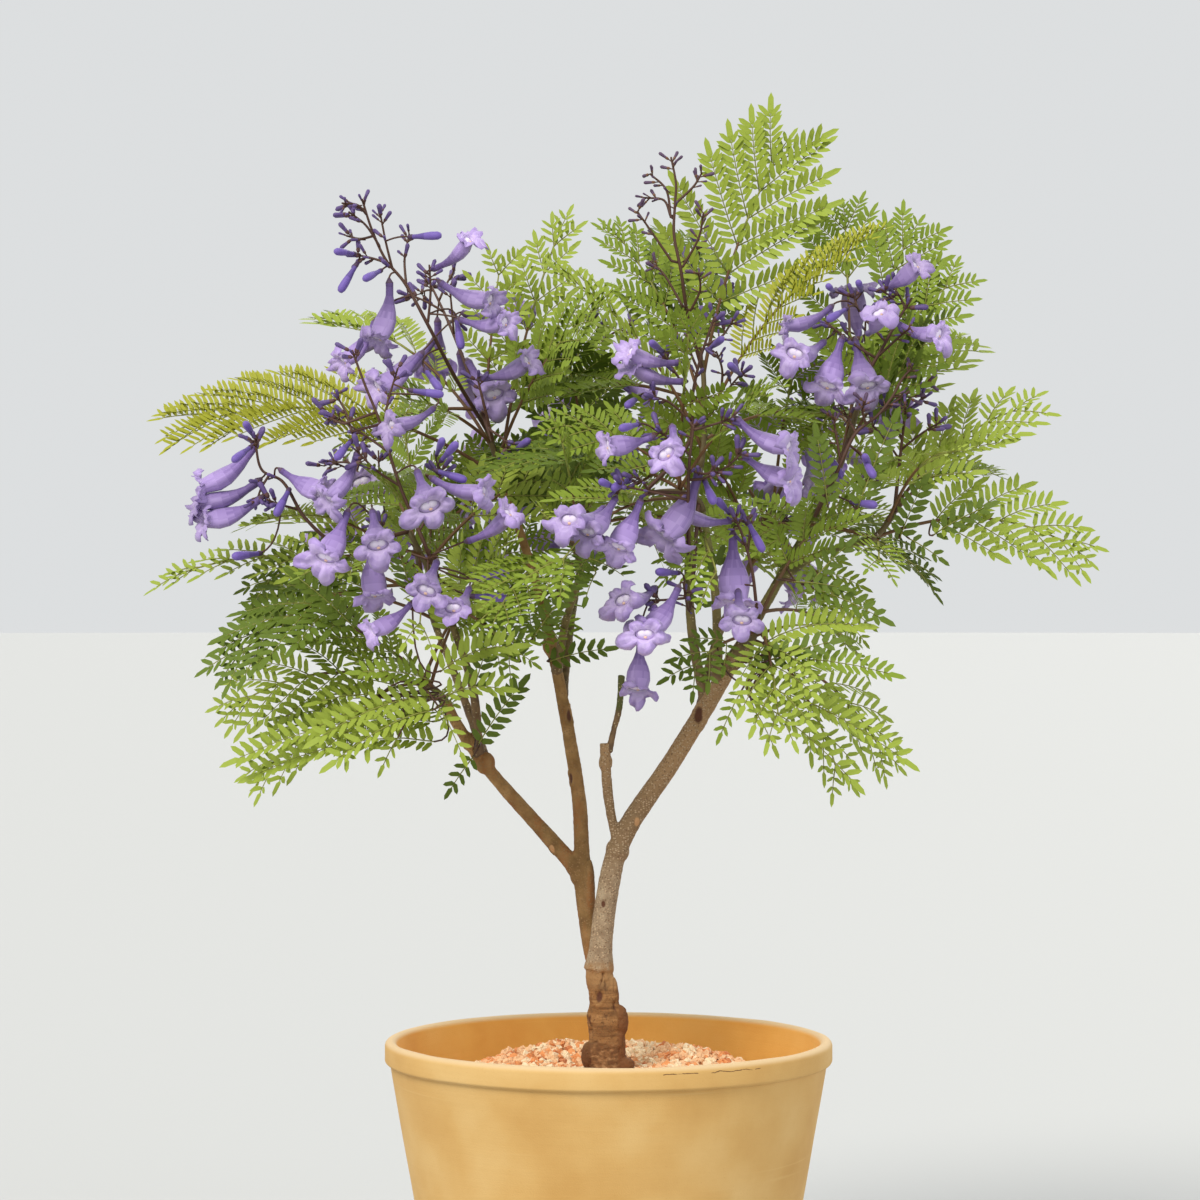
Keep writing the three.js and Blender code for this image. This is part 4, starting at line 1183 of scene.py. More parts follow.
# %% Clusters on the shown side
CLUSTERS = [
    {
        "mass": "foliage_left_top", "start": 0.7, "depth": -34,
        "stem": [(452, 372), (427, 323), (404, 282), (386, 260), (372, 230), (362, 199)],
        "twigs": [
            [(392, 268), (386, 242), (381, 214)], [(406, 284), (404, 258), (408, 232)],
            [(428, 324), (431, 290), (430, 266)], [(390, 264), (372, 258), (355, 254)],
            [(380, 247), (366, 226), (350, 214)], [(374, 236), (360, 238), (345, 234)],
            [(367, 215), (358, 206), (343, 205)],
        ],
        "open": [
            (389, 278, 378, 339, 0.3), (424, 350, 378, 388, 0.2), (376, 318, 344, 362, 0.1),
            (437, 280, 491, 302, 0.2), (457, 318, 506, 324, 0.3), (430, 270, 455, 252, 0.2),
        ],
        "closed": [
            (358, 262, 340, 293), (408, 237, 442, 237), (356, 254, 337, 254), (382, 270, 366, 282),
            (456, 316, 462, 350), (424, 368, 442, 392),
        ],
    },
    {
        "mass": "foliage_left_side", "start": 0.5, "depth": -80,
        "stem": [
            (437, 580), (425, 545), (416, 524), (400, 486), (389, 452), (378, 417), (365, 385), (352, 350),
        ],
        "twigs": [
            [(389, 452), (366, 436), (338, 418)], [(386, 440), (386, 412), (398, 368)],
            [(352, 433), (345, 412), (334, 392)], [(345, 424), (334, 420), (324, 412)],
            [(420, 530), (432, 505), (440, 470)], [(430, 560), (400, 548), (372, 520)],
            [(400, 486), (376, 470), (358, 452)],
        ],
        "open": [
            (436, 406, 397, 424, 0.3), (358, 449, 330, 499, 0.2), (349, 508, 327, 559, 0.4),
            (372, 508, 381, 546), (372, 538, 376, 596, 0.1), (414, 600, 374, 630, 0.1), (416, 468, 432, 508),
            (429, 476, 485, 492, 0.2), (464, 542, 509, 513, 0.2), (438, 559, 429, 591), (470, 586, 455, 608),
        ],
        "closed": [
            (434, 470, 467, 481), (475, 580, 509, 572), (469, 596, 508, 598), (408, 390, 444, 395),
            (440, 462, 458, 444), (436, 456, 444, 440), (352, 440, 338, 460),
        ],
    },
    {
        "mass": "foliage_left_side", "start": 1.0, "depth": -50,
        "stem": [(340, 545), (306, 519), (282, 481), (262, 470), (255, 440)],
        "twigs": [[(270, 474), (262, 488), (258, 500)], [(300, 510), (282, 505), (268, 500)]],
        "open": [
            (258, 440, 204, 486, 0.1), (262, 478, 200, 502, 0.3), (264, 496, 206, 520, 0.1),
            (278, 468, 322, 492, 0.2),
        ],
        "closed": [(255, 438, 248, 424), (290, 488, 278, 516), (262, 553, 236, 557), (252, 446, 236, 462)],
    },
    {
        "mass": "foliage_left_top", "start": 1.0, "depth": -20,
        "stem": [(492, 440), (484, 405), (478, 380)],
        "twigs": [[(490, 430), (504, 440), (512, 452)]],
        "open": [(477, 379, 528, 362, 0.2)],
        "closed": [(512, 453, 530, 441)],
    },
    {
        "mass": "foliage_inner", "start": 0.5, "depth": -92,
        "stem": [(690, 560), (688, 500), (690, 455), (694, 425)],
        "twigs": [
            [(688, 500), (660, 494), (620, 486)], [(650, 492), (640, 480), (628, 476)],
            [(690, 470), (704, 474), (716, 472)], [(690, 455), (672, 440), (655, 430)],
            [(700, 480), (722, 470), (740, 455)], [(694, 430), (716, 424), (734, 418)],
        ],
        "open": [
            (656, 436, 612, 446, 0.1), (672, 424, 665, 456), (700, 468, 661, 543, 0.1),
            (734, 416, 788, 448, 0.2), (742, 454, 790, 480, 0.2), (617, 495, 587, 533, 0.5),
            (606, 506, 569, 521), (642, 497, 618, 548, 0.3),
        ],
        "closed": [(704, 479, 713, 504), (640, 424, 620, 430), (616, 488, 600, 482), (630, 478, 612, 490)],
    },
    {
        "mass": "foliage_inner", "start": 0.2, "depth": -78,
        "stem": [(690, 610), (684, 588)],
        "twigs": [[(686, 598), (664, 600), (650, 600)]],
        "open": [
            (656, 586, 622, 600), (680, 584, 648, 630, 0.4), (655, 604, 644, 634), (640, 636, 638, 676, 0.1),
        ],
        "closed": [(680, 573, 656, 572)],
    },
    {
        "mass": "foliage_right_low", "start": 1.0, "depth": -74,
        "stem": [(758, 610), (752, 570), (742, 534), (734, 516)],
        "twigs": [[(748, 550), (750, 530), (748, 516)]],
        "open": [(734, 520, 696, 515, 0.2), (733, 530, 735, 600, 0.2), (738, 588, 740, 620)],
        "closed": [(747, 520, 763, 552), (730, 514, 716, 500)],
    },
    {
        "mass": "foliage_inner_top", "start": 0.9, "depth": 0,
        "stem": [(688, 315), (681, 271), (674, 234), (675, 204), (676, 184), (671, 157)],
        "twigs": [
            [(675, 204), (694, 186), (702, 173)], [(671, 219), (666, 189), (650, 173)],
            [(671, 217), (664, 200), (645, 197)], [(673, 263), (653, 234), (637, 211)],
            [(682, 268), (699, 237), (703, 214)], [(684, 309), (664, 274), (651, 260)],
            [(690, 312), (700, 290), (698, 274)],
        ],
        "open": [], "closed": [],
    },
    {
        "mass": "foliage_inner", "start": 1.0, "depth": -64,
        "stem": [(690, 440), (692, 400), (700, 360), (714, 318)],
        "twigs": [
            [(700, 430), (726, 392), (742, 372)], [(692, 400), (676, 372), (664, 352)],
            [(698, 370), (690, 350), (688, 334)], [(706, 345), (722, 336), (732, 322)],
            [(720, 400), (722, 370), (716, 352)], [(690, 420), (668, 402), (648, 396)],
        ],
        "open": [(688, 381, 634, 368, 0.2), (682, 362, 648, 356, 0.1)],
        "closed": [(742, 376, 728, 366), (664, 352, 650, 344), (708, 350, 722, 340), (640, 396, 626, 408)],
    },
    {
        "mass": "foliage_right_top", "start": 0.5, "depth": -48,
        "stem": [(817, 515), (837, 472), (856, 433), (878, 415), (892, 397), (903, 378), (912, 368)],
        "twigs": [
            [(892, 397), (902, 396), (912, 397)], [(880, 413), (915, 388), (932, 381)],
            [(840, 458), (835, 427), (832, 414)], [(856, 433), (850, 420), (846, 410)],
            [(866, 425), (862, 410), (864, 402)], [(850, 445), (866, 460), (872, 478)],
        ],
        "open": [],
        "closed": [(850, 502, 874, 506), (872, 470, 862, 456), (824, 448, 842, 478), (862, 456, 872, 478)],
    },
    {
        "mass": "foliage_right_top", "start": 1.0, "depth": -40,
        "stem": [(860, 400), (872, 366), (884, 345), (898, 320), (912, 298)],
        "twigs": [
            [(872, 366), (862, 346), (850, 336)], [(862, 350), (838, 330), (826, 318)],
            [(878, 356), (898, 338), (908, 330)], [(898, 320), (892, 300), (880, 290)],
            [(905, 308), (900, 296), (894, 286)], [(886, 342), (860, 310), (856, 296)],
        ],
        "open": [
            (834, 304, 788, 326, 0.1), (826, 340, 792, 357), (843, 335, 826, 388, 0.4),
            (855, 337, 866, 388, 0.4), (866, 334, 876, 316), (896, 322, 920, 330, 0.2),
            (876, 292, 908, 272, 0.2),
        ],
        "closed": [(848, 308, 826, 322), (862, 292, 856, 284), (834, 292, 826, 288)],
    },
]
print("clusters:", len(CLUSTERS), "open flowers:", sum(len(cluster["open"]) for cluster in CLUSTERS))

# %% Stems, stalks and where each flower stands
MOST_TOWARD = 0.75
STALK_POINTS = 7
STALK_RADIUS = 0.5
BUD_STALK_RADIUS = 0.42
tubes = {"rib_red": [], "rib_green": [], "shoot": [], "stem": []}
open_rows = []
closed_rows = []
bud_rows = {"flower_buds": [], "young_buds": []}


def add_tube(kind, line, first, last, sides):
    """Notes down a tube along a line, with its radius at both ends, to be made at the end."""
    tubes[kind].append((line, np.linspace(first, last, len(line)), sides))


def seen_at(across, down, depth):
    """The point at a pixel and a depth, in millimetres."""
    return in_picture(across, down, depth * MM) / MM


def seen_line(pixels, depth, base=None):
    """A smooth line through pixels at a depth in millimetres, from a base point if there is one."""
    points = [seen_at(across, down, depth) for across, down in pixels]
    if base is not None:
        points[0][1] = (base[1] + 2 * depth) / 3
        points.insert(0, np.asarray(base, float))
    return smooth_line(points)


def nearest(lines, place):
    """The point of several lines that is nearest to a place."""
    every = np.concatenate(lines)
    return every[np.argmin(np.linalg.norm(every - place, axis=1))]


def add_stalk(lines, foot, heading):
    """A stalk from the nearest stem to a flower's foot, coming in along the flower's heading."""
    start = nearest(lines, foot)
    gap = np.linalg.norm(foot - start)
    middle = foot - heading * 0.45 * gap + UP * 0.1 * gap
    line = arc(start, middle, foot + heading, np.linspace(0, 1, STALK_POINTS))
    add_tube("stem", line, STALK_RADIUS, STALK_RADIUS, 5)


def add_seen_flower(row, depth, lines, rows, length):
    """A flower from its foot and mouth in the picture, with how much it may look at the viewer."""
    foot_across, foot_down, mouth_across, mouth_down, most = (*row, MOST_TOWARD)[:5]
    foot = seen_at(foot_across, foot_down, depth + rng.uniform(-7, 7))
    mouth = seen_at(mouth_across, mouth_down, foot[1])
    seen = np.linalg.norm(mouth - foot)
    length *= rng.uniform(0.93, 1.05)
    toward = min(most * length, math.sqrt(max(0.0, length**2 - seen**2)))
    heading = unit(mouth - foot + np.array((0, -toward, 0)))
    rows.append((foot, heading, min(max(math.hypot(seen, toward), 0.8 * length), 1.22 * length)))
    add_stalk(lines, foot, heading)


def add_buds(tip, way, count, longest, kind="flower_buds"):
    """A tuft of buds at a twig's tip, spread round its heading."""
    first = unit(np.cross(way, (0.3, 0.5, 0.8)))
    for number in range(count):
        spread = turned_about(first, way, number * GOLDEN_ANGLE + rng.uniform(-0.3, 0.3))
        heading = unit(way * rng.uniform(0.25, 0.9) + spread * rng.uniform(0.5, 0.95))
        foot = tip - way * rng.uniform(0, 7)
        line = np.linspace(foot - 0.5 * heading, foot + 2.2 * heading, 3)
        add_tube("stem", line, BUD_STALK_RADIUS, BUD_STALK_RADIUS, 4)
        bud_rows[kind].append((foot + 2 * heading, heading, rng.uniform(0.42, 1.0) * longest))


print("kinds of tube:", list(tubes))

# %% Grow the clusters
TUBE_LENGTH = 32.0
CLOSED_LENGTH = 19.0
LONGEST_BUD = {"flower_buds": 9.5, "young_buds": 6.8}


def bud_total():
    """How many buds there are so far."""
    return sum(len(rows) for rows in bud_rows.values())


for cluster in CLUSTERS:
    depth = cluster["depth"]
    base = arc(*SHOOTS[cluster["mass"]], cluster["start"])[0]
    stem = seen_line(cluster["stem"], depth, base)
    lines = [stem]
    add_tube("stem", stem, 1.15, 0.6, 6)
    for twig in cluster["twigs"]:
        line = seen_line(twig, depth)
        line[:, 1] += np.linspace(0, rng.uniform(-14, 14), len(line))
        line[0] = nearest([stem], line[0])
        lines.append(line)
        add_tube("stem", line, 0.75, 0.5, 5)
    kind = "flower_buds" if cluster["open"] else "young_buds"
    longest = LONGEST_BUD[kind]
    for line in lines:
        add_buds(line[-1], unit(line[-1] - line[-4]), 5, longest, kind)
        middle = len(line) * 2 // 3
        add_buds(line[middle], unit(line[middle] - line[middle - 3]), 2, 0.8 * longest, kind)
    for age, rows, length in (("open", open_rows, TUBE_LENGTH), ("closed", closed_rows, CLOSED_LENGTH)):
        for row in cluster[age]:
            add_seen_flower(row, depth, lines, rows, length)
print("open", len(open_rows), "closed", len(closed_rows), "buds", bud_total())

# %% [markdown]
# ## Flowering stems on the far sides
# What the picture can't show is finished like what it does: the masses behind bear panicles by the
# rule of the solids, with flowers up the lower part of the stem and buds up to its tip.

# %% Panicles behind
PANICLES = [
    ("foliage_left_back", 1.0, (-148, 136, 476), 6, 5),
    ("foliage_left_back", 0.6, (-70, 150, 470), 5, 4),
    ("foliage_middle_back", 1.0, (0, 146, 548), 6, 6),
    ("foliage_middle_back", 0.6, (-44, 160, 470), 5, 4),
    ("foliage_right_back", 1.0, (128, 140, 520), 6, 5),
    ("foliage_right_back", 0.6, (100, 170, 440), 5, 4),
    ("foliage_right_side", 1.0, (150, -34, 492), 0, 5),
    ("foliage_right_top", 1.0, (140, 80, 540), 3, 4),
    ("foliage_left_top", 1.0, (-96, 66, 566), 5, 5),
    ("foliage_inner_top", 0.8, (44, 70, 574), 0, 6),
]
PANICLE_BOW = 0.08
PANICLE_POINTS = 16
PANICLE_BUD = 10.0
TUFT_POINTS = 6
FLOWER_STALK = 9
FRONT_DEPTH = 45.0
DROOP = 0.75
for number, (name, start, end, blooms, tufts) in enumerate(PANICLES):
    seed = 1000 + 7 * number
    base = arc(*SHOOTS[name], start)[0]
    end = np.array(end, float)
    way = unit(end - base)
    bow = square_to(UP, way) * PANICLE_BOW * np.linalg.norm(end - base)
    middle = (base + end) / 2 + bow
    stem = arc(base, middle, end, np.linspace(0, 1, PANICLE_POINTS))
    add_tube("stem", stem, 1.1, 0.6, 6)
    front = -1 if end[1] < FRONT_DEPTH else 1
    first = unit(square_to((0, -1, 0), way))
    lines = [stem]
    for tuft in range(tufts):
        root = arc(base, middle, end, 0.45 + 0.5 * (tuft + 0.5) / tufts)[0]
        out = turned_about(first, way, tuft * GOLDEN_ANGLE + seed)
        tip = root + unit(out + 0.9 * way) * (26 - 10 * tuft / tufts)
        line = arc(root, (root + tip) / 2 + 2 * UP, tip, np.linspace(0, 1, TUFT_POINTS))
        lines.append(line)
        add_tube("stem", line, 0.7, 0.5, 5)
        add_buds(tip, unit(tip - root), 5, PANICLE_BUD)
    add_buds(end, way, 6, PANICLE_BUD)
    for bloom in range(blooms):
        root = arc(base, middle, end, 0.34 + 0.5 * (bloom + 0.5) / blooms)[0]
        heading = turned_about(first, way, bloom * GOLDEN_ANGLE + seed)
        heading = heading + np.array((0, 0.5 * front, -DROOP * (0.4 + chance(seed, 10 + bloom))))
        foot = root + FLOWER_STALK * unit(heading)
        open_rows.append((foot, unit(heading), TUBE_LENGTH * rng.uniform(0.92, 1.05)))
        add_stalk(lines, foot, unit(heading))
print("open flowers in all:", len(open_rows), "buds:", bud_total())

# %% [markdown]
# ## One leaf
# A jacaranda leaf is divided twice: side stalks in pairs along an arching midrib, and on each side
# stalk pairs of small pointed leaflets with a larger one at the end. The leaflet is modelled once, as
# a flat six-sided cone pulled to a pointed oval with a fold, and stamped many thousand times. The
# leaf's plane leans to the light and to the outside, as in the solids, and a side stalk stops short
# of hiding a flower. Where the picture shows a side stalk by itself, it is read as two pixels and
# hung on the nearest rib, stem, shoot or limb.

# %% Leaflet shape
LEAFLET_FLATNESS = 0.08
MIDRIB_FOLD = 0.1
ROOT_WIDTH = 1.15
ROOT_PULL = 0.04

bpy.ops.object.select_all(action="DESELECT")
bpy.ops.mesh.primitive_cone_add(vertices=6, radius1=0.5, depth=LEAFLET_FLATNESS, end_fill_type="NGON")
leaflet = bpy.context.object
leaflet.rotation_euler.z = math.pi / 2
bpy.ops.object.transform_apply(location=True, rotation=True, scale=True)
for vertex in leaflet.data.vertices:
    x, y, z = vertex.co
    on_side = abs(y) > 0.1
    fold = 0.0 if on_side else MIDRIB_FOLD
    width = 1.0 if x > 0 else ROOT_WIDTH
    pull = ROOT_PULL if on_side and x < 0 else 0.0
    vertex.co = (x + 0.5 - pull, width * y, z - fold)
LEAFLET = shape_arrays(leaflet)
print("leaflet:", len(LEAFLET[1]), "triangles")

# %% Room for the flowers
FLOWER_ZONES = [(0.3, 5.0), (0.65, 9.0), (1.0, 13.0), (1.25, 12.0)]
ZONE_BEHIND = 8
ZONE_DEPTH = 130.0


def seen_flat(points):
    """Points as the picture shows them, carried to the plane of the trunk."""
    eye = np.array(CAMERA_PLACE) / MM
    points = np.atleast_2d(points)
    scale = -eye[1] / (points[:, 1] - eye[1])
    return eye[[0, 2]] + (points[:, [0, 2]] - eye[[0, 2]]) * scale[:, None]


zone_places = np.array([
    foot + heading * length * share
    for foot, heading, length in open_rows
    for share, _ in FLOWER_ZONES
])
zone_radii = np.array([radius for _ in open_rows for _, radius in FLOWER_ZONES])
zone_fronts = np.where(zone_places[:, 1] < FRONT_DEPTH, -1.0, 1.0)
zone_flat = seen_flat(zone_places)


def hides_flower(point):
    """Whether a leaf at this point would hang in an open flower or before it."""
    off = np.linalg.norm(zone_flat - seen_flat(point)[0], axis=1)
    before = (point[1] - zone_places[:, 1]) * zone_fronts
    return bool(np.any((off < zone_radii) & (before > -ZONE_BEHIND) & (before < ZONE_DEPTH)))


print("zones kept open:", len(zone_places))

# %% Side stalks with their leaflets
PINNA_BEND = 0.14
PINNA_POINTS = 6
SHORTEST_PINNA = 10.0
FRONT_LIMIT = -150.0
LEAFLET_GAP = {"d": 3.8, "m": 3.1, "f": 3.8, "l": 2.6, "s": 4.4}
LEAFLET_LENGTH = {"d": 11.0, "m": 9.0, "f": 10.6, "l": 8.8, "s": 9.0}
LEAFLET_WIDTH = {"d": 3.3, "m": 2.6, "f": 3.0, "l": 1.9, "s": 3.3}
LEAFLET_FOLD = {"d": 14.0, "m": 22.0, "f": 28.0, "l": 42.0, "s": 10.0}
leaf_turns = {tint: [] for tint in LEAFLET_GAP}
leaf_places = {tint: [] for tint in LEAFLET_GAP}


def add_leaflet(tint, root, heading, face, length, width):
    """One leaflet, from its root along its heading, with its face turned a little by chance."""
    if hides_flower(root + 0.6 * length * heading):
        return
    face = unit(square_to(face + rng.normal(0, 0.09, 3), heading))
    side = np.cross(face, heading)
    columns = np.stack((heading * length, side * width, face * width), axis=1)
    leaf_turns[tint].append(columns * MM)
    leaf_places[tint].append(root * MM)


def clear_length(root, heading, length):
    """How long a side stalk can be before it hides a flower or leaves the crown's front."""
    for share in (0.3, 0.5, 0.7, 0.9, 1.1):
        point = root + heading * length * share
        if point[1] < FRONT_LIMIT or hides_flower(point):
            return length * (share - 0.25)
    return length


def add_pinna(tint, root, heading, ahead, face, length, droop=0.17):
    """A side stalk that bends ahead and sags, with its pairs of leaflets and one at the end."""
    length = clear_length(root, heading, length)
    if length < SHORTEST_PINNA:
        return False
    shares = np.linspace(0, 1, PINNA_POINTS)[:, None]
    sag = 0.10 * length * face - droop * length * UP * shares
    line = root + heading * length * shares + ahead * (PINNA_BEND * length) * shares**2 + sag * shares
    add_tube("rib_green", line, 0.45, 0.25, 3)
    pairs = max(2, round(length / LEAFLET_GAP[tint]))
    for pair in range(pairs):
        u = (pair + 0.55) / (pairs + 0.1)
        here = np.array([np.interp(u, shares[:, 0], line[:, axis]) for axis in range(3)])
        axis_here = unit(heading + 2 * PINNA_BEND * u * ahead - 1.4 * droop * u * UP)
        across = unit(np.cross(face, axis_here))
        size = LEAFLET_LENGTH[tint] * (0.72 + 0.28 * math.sin(math.pi * min(1, 0.2 + 0.7 * u)))
        grown = min(1.0, 0.5 + length / 60)
        size *= rng.uniform(0.92, 1.06) * grown
        angle = math.radians(66 - 18 * u + rng.normal(0, 3))
        fold = math.radians(LEAFLET_FOLD[tint] + rng.normal(0, 4))
        for sign in (1, -1):
            out = sign * across * math.cos(fold) + face * math.sin(fold)
            upper = face * math.cos(fold) - sign * across * math.sin(fold)
            way = unit(axis_here * math.cos(angle) + out * math.sin(angle))
            add_leaflet(tint, here, way, upper, size, grown * LEAFLET_WIDTH[tint])
    end_size = 1.12 * grown * np.array((LEAFLET_LENGTH[tint], LEAFLET_WIDTH[tint]))
    add_leaflet(tint, line[-1] - 0.5 * heading, unit(line[-1] - line[-2]), face, *end_size)
    return True


print("tints:", list(leaf_places))

# %% Whole leaves
FRONT_LEAN = 0.75
ARCH = 0.13
ROLL = 22.0
PINNA_GAP = {"d": 14.5, "m": 14.5, "f": 16.5, "l": 11.0}
FIRST_PAIR = 0.28
LAST_PAIR = 0.86
PINNA_SHARE = 0.31
PINNA_TAPER = 0.45
WIDE_ANGLE = 50.0
CLOSE_ANGLE = 30.0
RIB_POINTS = 15
RED_POINTS = 9


def add_frond(base, tip, tint, breadth, seed):
    """A whole leaf: its arching midrib, its pairs of side stalks and the one at its end."""
    reach = tip - base
    length = np.linalg.norm(reach)
    chord = reach / length
    middle = (base + tip) / 2 + square_to(UP, chord) * 2 * ARCH * length
    front = -1 if middle[1] < FRONT_DEPTH else 1
    light = turned_about(np.array((0, FRONT_LEAN * front, 1.0)), chord, math.radians(ROLL * either(seed, 1)))
    tip = base + chord * (length - 0.7 * LEAFLET_LENGTH[tint])
    rib_end = FIRST_PAIR
    pairs = max(4, round(length * (LAST_PAIR - FIRST_PAIR) / PINNA_GAP[tint]) + 1)
    for pair in range(pairs):
        s = pair / (pairs - 1)
        t = FIRST_PAIR + (LAST_PAIR - FIRST_PAIR) * s
        root = arc(base, middle, tip, t)[0]
        ahead = unit(2 * (1 - t) * (middle - base) + 2 * t * (tip - middle))
        side = unit(np.cross(light, ahead))
        face = np.cross(ahead, side)
        turn = math.radians(WIDE_ANGLE + (CLOSE_ANGLE - WIDE_ANGLE) * s)
        long = length * PINNA_SHARE * breadth * (1 - PINNA_TAPER * s * s)
        long *= 0.86 + 0.14 * min(1, 3 * s + 0.3)
        for sign in (1, -1):
            slant = turn + math.radians(rng.normal(0, 4))
            heading = ahead * math.cos(slant) + sign * side * math.sin(slant)
            if add_pinna(tint, root, heading, ahead, face, long * rng.uniform(0.92, 1.05) - 4):
                rib_end = t
    ahead = unit(tip - middle)
    face = np.cross(ahead, unit(np.cross(light, ahead)))
    start = arc(base, middle, tip, 0.9)[0]
    if rib_end == LAST_PAIR and add_pinna(tint, start, ahead, ahead, face, np.linalg.norm(tip - start) / 1.1):
        rib_end = 0.93
    rib = arc(base, middle, tip, np.linspace(0, rib_end, RIB_POINTS))
    add_tube("rib_red", rib[:RED_POINTS], 1.05, 0.7, 5)
    add_tube("rib_green", rib[RED_POINTS - 1 :], 0.72, 0.4, 5)


for frond in fronds:
    add_frond(*frond)
print("ribs:", len(tubes["rib_red"]))

# %% Side stalks seen one by one
SHOOT_POINTS = 12
SPRIG_FACE = (0.1, -0.9, 0.5)
SPRIGS = [
    ("s", 0.17, [
        (474, 756, 452, 790, -8), (478, 745, 520, 688, -6), (474, 690, 490, 640, -14),
        (548, 662, 604, 652, 4), (356, 630, 296, 580, -60), (828, 506, 816, 440, -52),
        (858, 508, 892, 424, -50), (792, 582, 838, 590, -60), (812, 588, 878, 622, -60),
        (812, 582, 846, 548, -58), (752, 668, 830, 646, -66), (410, 590, 398, 552, -82),
        (900, 538, 922, 486, -26), (932, 536, 984, 510, -26), (908, 538, 938, 560, -26),
        (532, 640, 566, 596, -30), (520, 660, 496, 610, -34), (700, 610, 718, 560, -60),
        (560, 596, 596, 560, -60),
    ]),
    ("m", 0.3, [(745, 663, 888, 684, -64), (432, 681, 362, 676, -66), (742, 690, 722, 738, -70)]),
    ("f", 0.42, [
        (742, 684, 900, 784, -56), (752, 700, 848, 802, -60), (754, 710, 772, 754, -62),
        (762, 644, 858, 628, -58), (436, 742, 258, 792, -40), (434, 722, 240, 778, -44),
        (434, 710, 338, 776, -68), (430, 697, 322, 752, -62), (399, 736, 384, 772, -64),
        (438, 706, 460, 764, -70), (440, 672, 512, 646, -72), (446, 696, 500, 690, -70),
    ]),
]
shoot_lines = [arc(*shoot, np.linspace(0, 1, SHOOT_POINTS)) for shoot in SHOOTS.values()]
holders = [line for line, _, _ in tubes["rib_red"] + tubes["stem"]]
holders += [*LIMB_LINES.values(), *shoot_lines]
for tint, droop, rows in SPRIGS:
    for across, down, tip_across, tip_down, depth in rows:
        root = seen_at(across, down, depth)
        reach = seen_at(tip_across, tip_down, depth) - root
        aim = (reach + droop * np.linalg.norm(reach) * UP) / (1 + PINNA_BEND)
        length = np.linalg.norm(aim)
        heading = aim / length
        face = unit(square_to(SPRIG_FACE, heading))
        if add_pinna(tint, root, heading, heading, face, length, droop):
            add_stalk(holders, root, heading)
for line in shoot_lines:
    add_tube("shoot", line, 1.9, 1.3, 8)
print("leaflets:", sum(len(rows) for rows in leaf_places.values()))

# %% [markdown]
# ## Leaf colours
# The leaves are dealt out by their letter, one plain colour and one joined piece for each. The letter
# s is for the broad dark leaflets of the side stalks that are seen one by one.

# %% Leaf pieces
# Deep green is painted shade. Fresh green is partly the leaves' own yellow-green, partly painted sunlight.
LEAF_COLOURS = {
    "d": ("leaves_deep_painted_shade", paint(94, 113, 32)),
    "m": ("leaves_middle", paint(124, 143, 44)),
    "f": ("leaves_fresh_and_painted_light", paint(147, 163, 60)),
    "l": ("leaves_lime", paint(158, 160, 46)),
    "s": ("leaves_sprigs", paint(94, 112, 36)),
}
for tint, (name, colour) in LEAF_COLOURS.items():
    leaves = stamped(LEAFLET, leaf_turns[tint], leaf_places[tint])
    leaf_finish = plain_finish(name, colour, 0.6, specular=0.25)
    finish_piece(joined_piece(name, leaves, [leaf_finish], smooth=False), "foliage")

# %% [markdown]
# ## The trumpet
# A flower is a bent, flattened trumpet: a narrow neck in a dark cup, a wide tube, and five ruffled
# lobes, two up and three down. It is modelled from a circle, extruded ring by ring and resized. The
# last rings are pulled out into lobes, Solidify gives the petal its thickness, and its material
# offset gives the inside paler colours. A lid just inside the mouth closes the throat, with two white
# swellings and the tip of a stamen on it. Buds are extruded in the same way, without lobes.

# %% Rings of a flower
FLOWER_SIDES = 50
CUP_RINGS = [(2.3, 2.6), (2.2, 4.8)]
TUBE_RINGS = [(2.4, 10.0), (4.0, 15.0), (6.2, 19.5), (7.7, 24.0), (8.1, 29.5), (6.6, 36.0)]
LOBE_RINGS = 4
FIRST_LOBE_RING = len(CUP_RINGS) + len(TUBE_RINGS)
INSIDE = FIRST_LOBE_RING + LOBE_RINGS
THROAT = 2 * INSIDE
STAMEN = THROAT + 1


def ringed(start_radius, rings, sides, fill):
    """A circle extruded ring by ring up Z and resized, as (radius, height) pairs."""
    bpy.ops.object.select_all(action="DESELECT")
    bpy.ops.mesh.primitive_circle_add(vertices=sides, radius=start_radius, fill_type=fill, location=(0, 0, 0))
    thing = bpy.context.object
    bpy.ops.object.mode_set(mode="EDIT")
    bpy.ops.mesh.select_all(action="SELECT")
    last_radius, last_height = start_radius, 0.0
    for radius, height in rings:
        bpy.ops.mesh.extrude_region_move(TRANSFORM_OT_translate={"value": (0, 0, height - last_height)})
        grow = radius / last_radius
        bpy.ops.transform.resize(value=(grow, grow, 1), center_override=(0, 0, height))
        last_radius, last_height = radius, height
    bpy.ops.mesh.select_all(action="SELECT")
    bpy.ops.mesh.normals_make_consistent(inside=False)
    bpy.ops.object.mode_set(mode="OBJECT")
    return thing


print("rings of a flower:", INSIDE)

# %% Bend of a petal
MOUTH, FLOWER_TUBE = TUBE_RINGS[-1]
LOBES = 5
LOBE_STEP = 0.5
TUBE_SAG = 14.0
FLATNESS = 0.42
BELLY = 1.14
UPPER_LOBE = 6.6
LOWER_LOBE_MORE = 5.6


